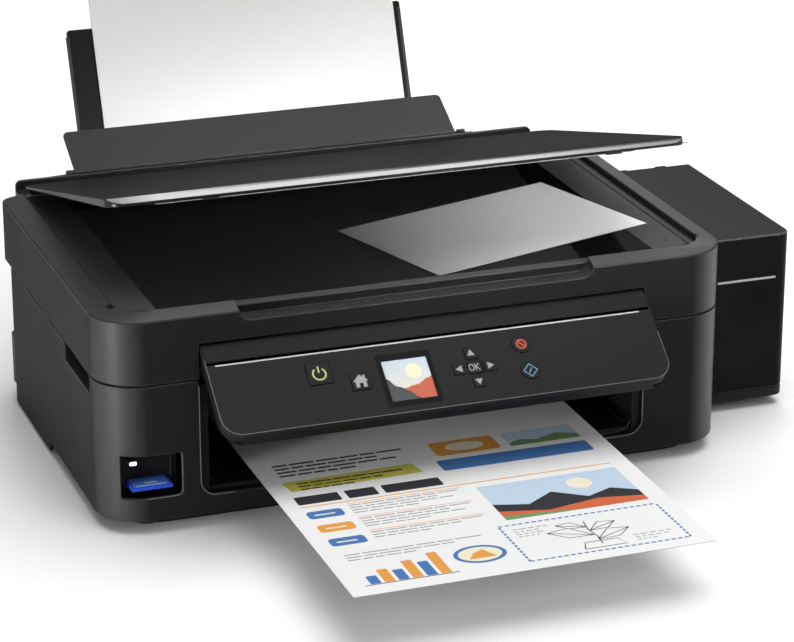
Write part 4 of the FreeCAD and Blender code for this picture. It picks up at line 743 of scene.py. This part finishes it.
POWER = (-73.3, 28.5)
HOME = (-50.7, 37.0)
PAD = (18.7, 37.7)
STEP = 9.6
STOP = (50.8, 26.6)
START = (51.2, 44.5)
power_ring = oval(0, -0.4, 7.6, 7.6, 24, 125, 290)
symbol("power_symbol", "key_power", "symbol_green", dash(power_ring, 1.0, *POWER),
       dash([(0, 0.4), (0, 4.6)], 1.0, *POWER))
house = [(-4.6, 0), (0, 4.4), (1.9, 2.6), (1.9, 3.9), (3.1, 3.9), (3.1, 1.5), (4.6, 0), (3.3, 0),
         (3.3, -4), (1.1, -4), (1.1, -1.2), (-1.1, -1.2), (-1.1, -4), (-3.3, -4), (-3.3, 0)]
symbol("home_symbol", "key_home", "symbol_white", shape(house, *HOME))
arrow = [(-2.3, -1.7), (2.3, -1.7), (0, 2.3)]
for name, turn, (dx, dv) in (("up", 0, (0, -STEP)), ("left", 90, (-STEP, 0)), ("down", 180, (0, STEP)),
                             ("right", 270, (STEP, 0))):
    cos, sin = math.cos(math.radians(turn)), math.sin(math.radians(turn))
    turned_arrow = [(u * cos - v * sin, u * sin + v * cos) for u, v in arrow]
    symbol(name + "_symbol", "key_" + name, "symbol_white", shape(turned_arrow, PAD[0] + dx, PAD[1] + dv))
symbol("ok_symbol", "key_ok", "symbol_white", dash(oval(-2.1, 0, 3.0, 4.0, 20), 0.55, *PAD, closed=True),
       dash([(0.4, 2.2), (0.4, -2.2)], 0.6, *PAD), dash([(0.5, -0.2), (2.7, 2.2)], 0.6, *PAD),
       dash([(1.0, 0.3), (2.8, -2.2)], 0.6, *PAD))
symbol("stop_symbol", "key_stop", "symbol_red", dash(oval(0, 0, 5.6, 5.6, 24), 1.1, *STOP, closed=True),
       dash([(-1.6, 1.6), (1.6, -1.6)], 1.1, *STOP))
symbol("start_symbol", "key_start", "symbol_blue",
       dash([(-4.2, 0), (0, 4.2), (4.2, 0), (0, -4.2)], 0.8, *START, closed=True),
       dash([(-1.0, -1.6), (1.0, 1.6)], 0.7, *START))
print("symbols made: 9")

# %% [markdown]
# The screen sits in a black surround. Its picture is a plain landscape, a pale sky with a low sun
# over red and dark hills, painted by the shader from the piece's own coordinates. The screen leans
# back, so heights are drawn out to keep the sun round.

# %% Screen and surround
outer = rounded(-38.6, -5.4, 21.6, 56.4, 1.4)
inner = rounded(-35.6, -8.1, 25.9, 52.9, 0.5)
surround = frame_mesh(outer, inner, on_panel, -0.35, 0.15)
make("screen_surround", *surround, "panel", "screen_glass", "screen_black", 0.12)

screen = Finish("screen_picture", Roughness=0.2, Specular_IOR_Level=0.3)
spot = screen.place()
middle = on_panel(-21.8, 39.4, 0)
across = screen.node("SeparateXYZ", None, {"Vector": spot}) - middle.x
height = screen.node("SeparateXYZ", None, {"Vector": spot}, out=2) - middle.z
SQUEEZE = 2.6
sun_x = across - 0.004
sun_z = height - 0.003
far = screen.node("Math", {"operation": "POWER"}, {0: sun_x * sun_x + sun_z * sun_z * SQUEEZE, 1: 0.5})
low_sky, high_sky = rgb(0.52, 0.50, 0.44), rgb(0.36, 0.43, 0.50)
sky = screen.ramp(screen.span(height, -0.004, 0.008), (0.0, low_sky), (1.0, high_sky))
sun = screen.blend(screen.span(far, 0.0046, 0.0050), rgb(0.62, 0.56, 0.38), sky)
ripple = screen.noise(9, 2) * 0.004
near_hill = screen.span(height - across * 0.25 + ripple, -0.0012, -0.0008)
red = screen.blend(near_hill, rgb(0.38, 0.06, 0.02), sun)
dark_hill = screen.span(height + across * 0.5 + ripple, -0.0044, -0.0040)
picture = screen.blend(dark_hill, rgb(0.02, 0.02, 0.025), red)
screen.give("Base Color", picture)
screen.give("Emission Color", picture)
screen.give("Emission Strength", 0.06)
finishes["screen_picture"] = (screen.material, screen.material)
glow = plate_mesh(rounded(-35.4, -8.3, 26.1, 52.7, 0.4), on_panel, -0.38, -0.2)
make("screen_picture", *glow, "panel", "screen_glass", "screen_picture")
print("screen made")

# %% [markdown]
# The printed page is the sheet of the model with ink on it. Ink has no thickness to speak of, so
# each area is a flat shape a few hundredths of a millimetre above the paper. Lines of text stand
# as grey rules, and the pictures are plain shapes: hills, a leaf drawing, a bar chart.

# %% Inks for the page
PAGE_INKS = {
    "page_blue": (0.06, 0.17, 0.42),
    "page_sky": (0.48, 0.60, 0.72),
    "page_olive": (0.52, 0.50, 0.10),
    "page_orange": (0.72, 0.32, 0.06),
    "page_dark": (0.03, 0.03, 0.035),
    "page_grey": (0.33, 0.33, 0.34),
    "page_cream": (0.80, 0.74, 0.58),
    "page_red": (0.60, 0.13, 0.05),
    "page_green": (0.16, 0.30, 0.12),
}
for name, tone in PAGE_INKS.items():
    ink(name, tone, rough=0.7)
page_low, page_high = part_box("printed_sheet")
page_left = (page_low.x - case_mid) / MM
page_front = (page_low.y - case_front) / MM
page_top = page_high.z / MM


def on_page(u, s, out):
    """A point on the page: from its left side, and back from its front edge."""
    return at(page_left + u, page_front + s, page_top + out)


LAYER = 0.03
SUNK = -0.02
page_parts = {}


def patch(tone, outline, layer=1):
    """An area of one ink. A higher layer lies over a lower one."""
    page_parts.setdefault(tone, []).append(plate_mesh(outline, on_page, SUNK, LAYER * layer))


def stroke(tone, path, width):
    """A line of one ink."""
    page_parts.setdefault(tone, []).append(bead_mesh(path, width, on_page, SUNK, LAYER))


print("page", round(page_left), round(page_front), round(page_top, 2))

# %% The page's layout
def text_lines(left, right, top, count, step=3.4, thick=1.2, tone="page_grey"):
    """Rules that stand for lines of text, each as long as words would make it."""
    for n in range(count):
        length = (right - left) * (0.98 - 0.09 * ((n * 5) % 3) - (0.35 if n == count - 1 else 0))
        s = top - n * step
        start = left
        for word in range(6):
            size = length * (0.11 + 0.05 * ((n + word * 3) % 4) / 2)
            if start + size > left + length:
                break
            patch(tone, [(start, s), (start + size, s), (start + size, s + thick), (start, s + thick)])
            start += size + 1.3


patch("page_olive", [(12, 141), (92, 143), (90, 157), (10, 155)])
patch("page_blue", rounded(104, 198, 140, 155, 2))
text_lines(12, 96, 178, 4, 5.0, 2.0, "page_dark")
patch("page_orange", rounded(108, 148, 161, 181, 3))
patch("page_cream", oval(128, 171, 24, 12, 30), 2)
patch("page_sky", rounded(154, 198, 161, 181, 1))
patch("page_green", [(154, 161), (198, 161), (198, 166), (186, 172), (172, 166), (162, 169), (154, 165)], 2)
text_lines(18, 84, 150, 3, 4.2, 1.8, "page_dark")
for left, right in ((10, 36), (40, 58), (62, 97)):
    patch("page_dark", rounded(left, right, 122, 133, 0.8))
stroke("page_orange", [(10, 118.5), (198, 118.5)], 1.0)
patch("page_sky", rounded(112, 198, 64, 112, 0.6))
patch("page_cream", oval(170, 98, 15, 15), 2)
far_hills = [(112, 64), (198, 64), (198, 78), (184, 86), (168, 79), (150, 92), (132, 80), (112, 86)]
patch("page_dark", far_hills, 3)
patch("page_red", [(112, 64), (198, 64), (198, 70), (172, 75), (140, 69), (112, 76)], 4)
patch("page_green", [(112, 64), (160, 64), (134, 67.5), (112, 69)], 5)
text_lines(36, 104, 112, 4)
text_lines(36, 104, 93, 4)
text_lines(36, 104, 74, 3)
for s, tone in ((106, "page_blue"), (87, "page_orange"), (68, "page_blue")):
    patch(tone, rounded(10, 31, s - 4.5, s + 5.5, 2.5))
    patch("page_cream", rounded(14, 26, s - 0.6, s + 0.9, 0.5), 2)
    stroke("page_orange", [(36, s + 9.2), (104, s + 9.2)], 0.6)
print("upper page laid out")

# %% The lower page: a boxed drawing, a chart and an oval
box_left, box_right, box_low, box_high = 104, 199, 10, 57
for n in range(24):
    u = box_left + (box_right - box_left) * n / 24
    for s in (box_low, box_high):
        stroke("page_blue", [(u, s), (u + 2.6, s)], 1.4)
for n in range(12):
    s = box_low + (box_high - box_low) * n / 12
    for u in (box_left, box_right):
        stroke("page_blue", [(u, s), (u, s + 2.5)], 1.4)
stem = [(150, 18), (151, 28), (149.5, 38), (151, 48)]
stroke("page_dark", stem, 0.7)
for base, lean, size in ((24, 1, 22), (30, -1, 24), (36, 1, 18), (41, -1, 16)):
    tip = (150 + lean * size, base + size * 0.42)
    upper = [(150, base), (150 + lean * size * 0.45, base + size * 0.52), tip]
    lower = [(150, base), (150 + lean * size * 0.6, base + size * 0.02), tip]
    for path in (upper, lower, [(150, base), tip]):
        stroke("page_dark", path, 0.6)
stroke("page_dark", [(138, 14), (141, 22), (160, 22), (163, 14), (138, 14)], 0.7)
text_lines(110, 132, 50, 4, 3.2, 1.0)
text_lines(170, 195, 22, 3, 3.2, 1.0)
for n, tall in enumerate((10, 16, 13, 22, 18, 27)):
    patch("page_blue" if n % 2 == 0 else "page_orange", rounded(14 + n * 8, 20 + n * 8, 12, 12 + tall, 0.8))
stroke("page_dark", [(11, 11.2), (64, 11.2)], 0.8)
patch("page_blue", oval(82, 28, 30, 22, 36))
patch("page_cream", oval(82, 28, 25, 17.5, 36), 2)
patch("page_orange", [(74, 23), (90, 23), (85, 33), (79, 30)], 3)
text_lines(12, 96, 50, 3, 3.4, 1.2)
for tone, meshes in page_parts.items():
    make("print_" + tone[5:], *merged(*meshes), "printed_sheet", "white_paper", tone)
print("inks on the page:", len(page_parts))

# %% [markdown]
# The card recess and the paper opening have thin bright lips where their moulded edges catch the
# light. They are beads of lighter grey that follow the edges: painted highlights. The card carries
# a paler label, and a small white light sits in the recess's upper corner. The lip low in the
# opening is the tray's own, and slides out with it.

# %% Card recess, card label and light
FRONT = on_front(0.0)
recess = [(-150.0, 49.0), (-149.2, 47), (-149.2, 26), (-150.6, 23.6), (-153, 22.8), (-170, 22.8)]
# Painted highlight: the recess lip's lighter grey.
make("recess_lip", *bead_mesh(recess, 0.55, FRONT, -0.3, 0.12), "base", "case_plastic", "lip_grey", 0.08)
inner_front = on_front(13.9)
shelf = [(-152.6, 46), (-152.6, 29), (-153.4, 27.4), (-180, 26.4)]
# Painted highlight: the inner lip's lighter grey.
shelf_bead = bead_mesh(shelf, 0.5, inner_front, -0.1, 0.3)
make("recess_inner_lip", *shelf_bead, "base", "case_plastic", "mid_grey", 0.06)
pipe = rounded(-179.9, -175.7, 44.2, 46.4, 0.9)
make("card_light_pipe", *plate_mesh(pipe, inner_front, -0.2, 12.0), "base", "case_plastic", "black", 0.1)
make("card_light", *plate_mesh(pipe, inner_front, 12.0, 12.4), "base", "case_plastic", "light_white", 0.1)
card_low, card_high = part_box("memory_card")
card_x = (card_low.x - case_mid) / MM
card_y = (card_low.y - case_front) / MM
card_top = on_top(card_high.z / MM)
ink("label_blue", (0.06, 0.17, 0.62), rough=0.35)
ink("label_pale", (0.55, 0.65, 0.80), rough=0.35)


def on_card(left, right, front, back, radius, low, high):
    """A plate on the card's top, from its left front corner."""
    outline = rounded(card_x + left, card_x + right, card_y + front, card_y + back, radius)
    return plate_mesh(outline, card_top, low, high)


label = on_card(1.4, 22.6, 1.0, 15, 0.8, -0.02, 0.08)
make("card_label", *label, "memory_card", "card_blue", "label_blue")
bars = merged(on_card(9, 16, 5.2, 7.0, 0.4, 0.0, 0.12), on_card(3, 21, 2.0, 3.0, 0.3, 0.0, 0.12))
make("card_label_bars", *bars, "memory_card", "card_blue", "label_pale")
print("card and recess dressed")

# %% Lips of the paper opening
slot_edge = 138.3
slot_bend = 9.5
bend_z = 29.5
right_lip = [(slot_edge, 88), (slot_edge, bend_z)]
right_lip += oval(slot_edge - slot_bend, bend_z, 2 * slot_bend, 2 * slot_bend, 8, 0, -90) + [(90, 20)]
left_lip = [(-u, v) for u, v in right_lip[:-1]] + [(-118, 20)]
# Painted highlights: the opening, tunnel and tray lips are beads of lighter grey.
for name, path in (("right", right_lip), ("left", left_lip)):
    lip = bead_mesh(path, 0.5, FRONT, -0.3, 0.12)
    make("opening_lip_" + name, *lip, "base", "case_plastic", "lip_grey", 0.08)
tunnel_lip = bead_mesh([(132.8, 43), (132.8, 29.6)], 0.5, on_front(3.4), -0.3, 0.3)
make("tunnel_lip", *tunnel_lip, "base", "inner_plastic", "mid_grey", 0.08)
tray_edge = [(131.9, 28.2)] + oval(122.4, 28.2, 19.0, 13.8, 8, 0, -90)[1:] + [(96, 21.3)]
tray_lip = bead_mesh(tray_edge, 0.5, on_front(4.0), -0.1, 0.4)
make("tray_lip", *tray_lip, "output_tray", "inner_plastic", "mid_grey", 0.08)
print("opening lips made")

# %% [markdown]
# Under the lid, the bed is a flat border round the glass, with a soft gasket strip along its right
# side and a dot that marks the corner for the paper. The border's grey is lighter than the case
# plastic: painted light for the light the bed catches. Two small stops under the lid's lip keep it
# off the rim.

# %% Bed border, gasket and lid stops
BED_HEIGHT = 130.0
bed = on_top(BED_HEIGHT)
glass_low, glass_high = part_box("scan_glass")
glass_x = [(c.x - case_mid) / MM for c in (glass_low, glass_high)]
glass_y = [(c.y - case_front) / MM for c in (glass_low, glass_high)]
bed_outline = rounded(-180, 180, 10.5, 246, 2)
# Painted light: the border's grey stands lighter than the case plastic.
border = frame_mesh(bed_outline, rounded(*glass_x, *glass_y, 0.5), bed, -0.15, 0.04)
make("bed_border", *border, "scanner", "case_plastic", "bed_grey")
gasket = plate_mesh(rounded(174.6, 179.8, 16, 238, 1.2), bed, -0.1, 0.6)
make("bed_gasket", *gasket, "scanner", "inner_plastic", "black", 0.2)
dot = plate_mesh(oval(165, 32, 2.4, 2.4, 20), bed, -0.1, 0.3)
make("bed_mark", *dot, "scanner", "inner_plastic", "black")
for name, x in (("left", -118.0), ("right", 132.0)):
    stop = plate_mesh(rounded(x - 5, x + 5, -232, -228, 1.0), on_lid, 4.3, 5.6)
    make("lid_stop_" + name, *stop, "lid", "inner_plastic", "rubber", 0.3)
print("border, gasket and stops made")

# %% [markdown]
# The paper support has raised rails along its sides that catch a line of light. They are long thin
# plates drawn on the paper's slope, so they lean with it and slide with the support. Their lighter
# grey is a painted highlight for that line of light.

# %% Paper support rails
# Painted highlight: the rails are a lighter grey than the support.
for name, x in (("left", -124.6), ("right", 106.6)):
    rail = plate_mesh(rounded(x, x + 2.2, 44, 152, 0.8), on_paper, -1.7, -0.7)
    make("support_rail_" + name, *rail, "paper_support", "case_plastic", "mid_grey", 0.25)
print("support rails made")

# %% [markdown]
# The tank box has one silver line across its front. It is a plate a quarter of a millimetre proud
# of the cover, and rides on it when the cover swings up.

# %% Tank line
tank_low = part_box("tank_cover")[0]
tank_front = on_front((tank_low.y - case_front) / MM)
line = plate_mesh(rounded(214, 254, 86.2, 87.6, 0.6), tank_front, -0.1, 0.25)
make("tank_line", *line, "tank_cover", "steel", "silver", 0.1)
print("tank line made")

# %% [markdown]
# The stage is a wide pale floor, with a wide soft light overhead and one behind for the lid's
# bright edge. Small low ones at the left and right draw the lines down the case's front corners, a
# large one fills from the front, and a narrow beam reaches under the lid. The camera doesn't see
# the lamps themselves.

# %% Floor
bpy.context.scene.view_settings.view_transform = "Standard"
floor_finish = Finish("floor", Specular_IOR_Level=0.1)
floor_cloud = floor_finish.noise(300, 3)
floor_finish.give("Base Color", floor_finish.blend(floor_cloud, rgb(0.86), rgb(0.90)))
floor_finish.give("Roughness", floor_cloud * 0.1 + 0.7)
REACH = 12.0
corners = [(-REACH, -REACH, 0), (REACH, -REACH, 0), (REACH, REACH, 0), (-REACH, REACH, 0)]
mesh = bpy.data.meshes.new("floor")
mesh.from_pydata(corners, [], [(0, 1, 2, 3)])
floor = bpy.data.objects.new("floor", mesh)
bpy.context.scene.collection.objects.link(floor)
mesh.materials.append(floor_finish.material)
print("floor", 2 * REACH, "m wide")


# %% Lights
def softbox(name, place, target, wide, tall, power, spread=180):
    """A lamp with a flat face that looks at a target. Spread is its cone in degrees."""
    lamp = bpy.data.lights.new(name, "AREA")
    lamp.shape = "RECTANGLE"
    lamp.size = wide
    lamp.size_y = tall
    lamp.energy = power
    lamp.spread = math.radians(spread)
    holder = bpy.data.objects.new(name, lamp)
    bpy.context.scene.collection.objects.link(holder)
    holder.location = place
    holder.rotation_euler = (Vector(target) - Vector(place)).to_track_quat("-Z", "Y").to_euler()
    holder.visible_camera = False


softbox("overhead", (0.2, -0.1, 2.0), (0, 0, 0), 2.4, 2.0, 48)
softbox("behind", (0.52, 1.2, 0.98), (0, -0.1, 0.18), 1.1, 0.45, 9.5)
softbox("left", (-1.15, -0.45, 0.12), (-0.2, -0.12, 0.08), 0.22, 0.3, 0.4, spread=24)
softbox("right", (1.25, -0.3, 0.15), (0.15, -0.1, 0.08), 0.22, 0.3, 0.05, spread=24)
softbox("front", (0.5, -1.9, 1.15), (0.02, 0, 0.14), 1.2, 0.8, 8)
softbox("beam", (0.42, -0.95, 0.48), (0.05, 0.0, 0.15), 0.3, 0.12, 0.18, spread=12)
world = bpy.data.worlds.new("room")
bpy.context.scene.world = world
world.use_nodes = True
background = world.node_tree.nodes["Background"].inputs
background["Color"].default_value = rgb(1)
background["Strength"].default_value = 0.2
print("stage set")
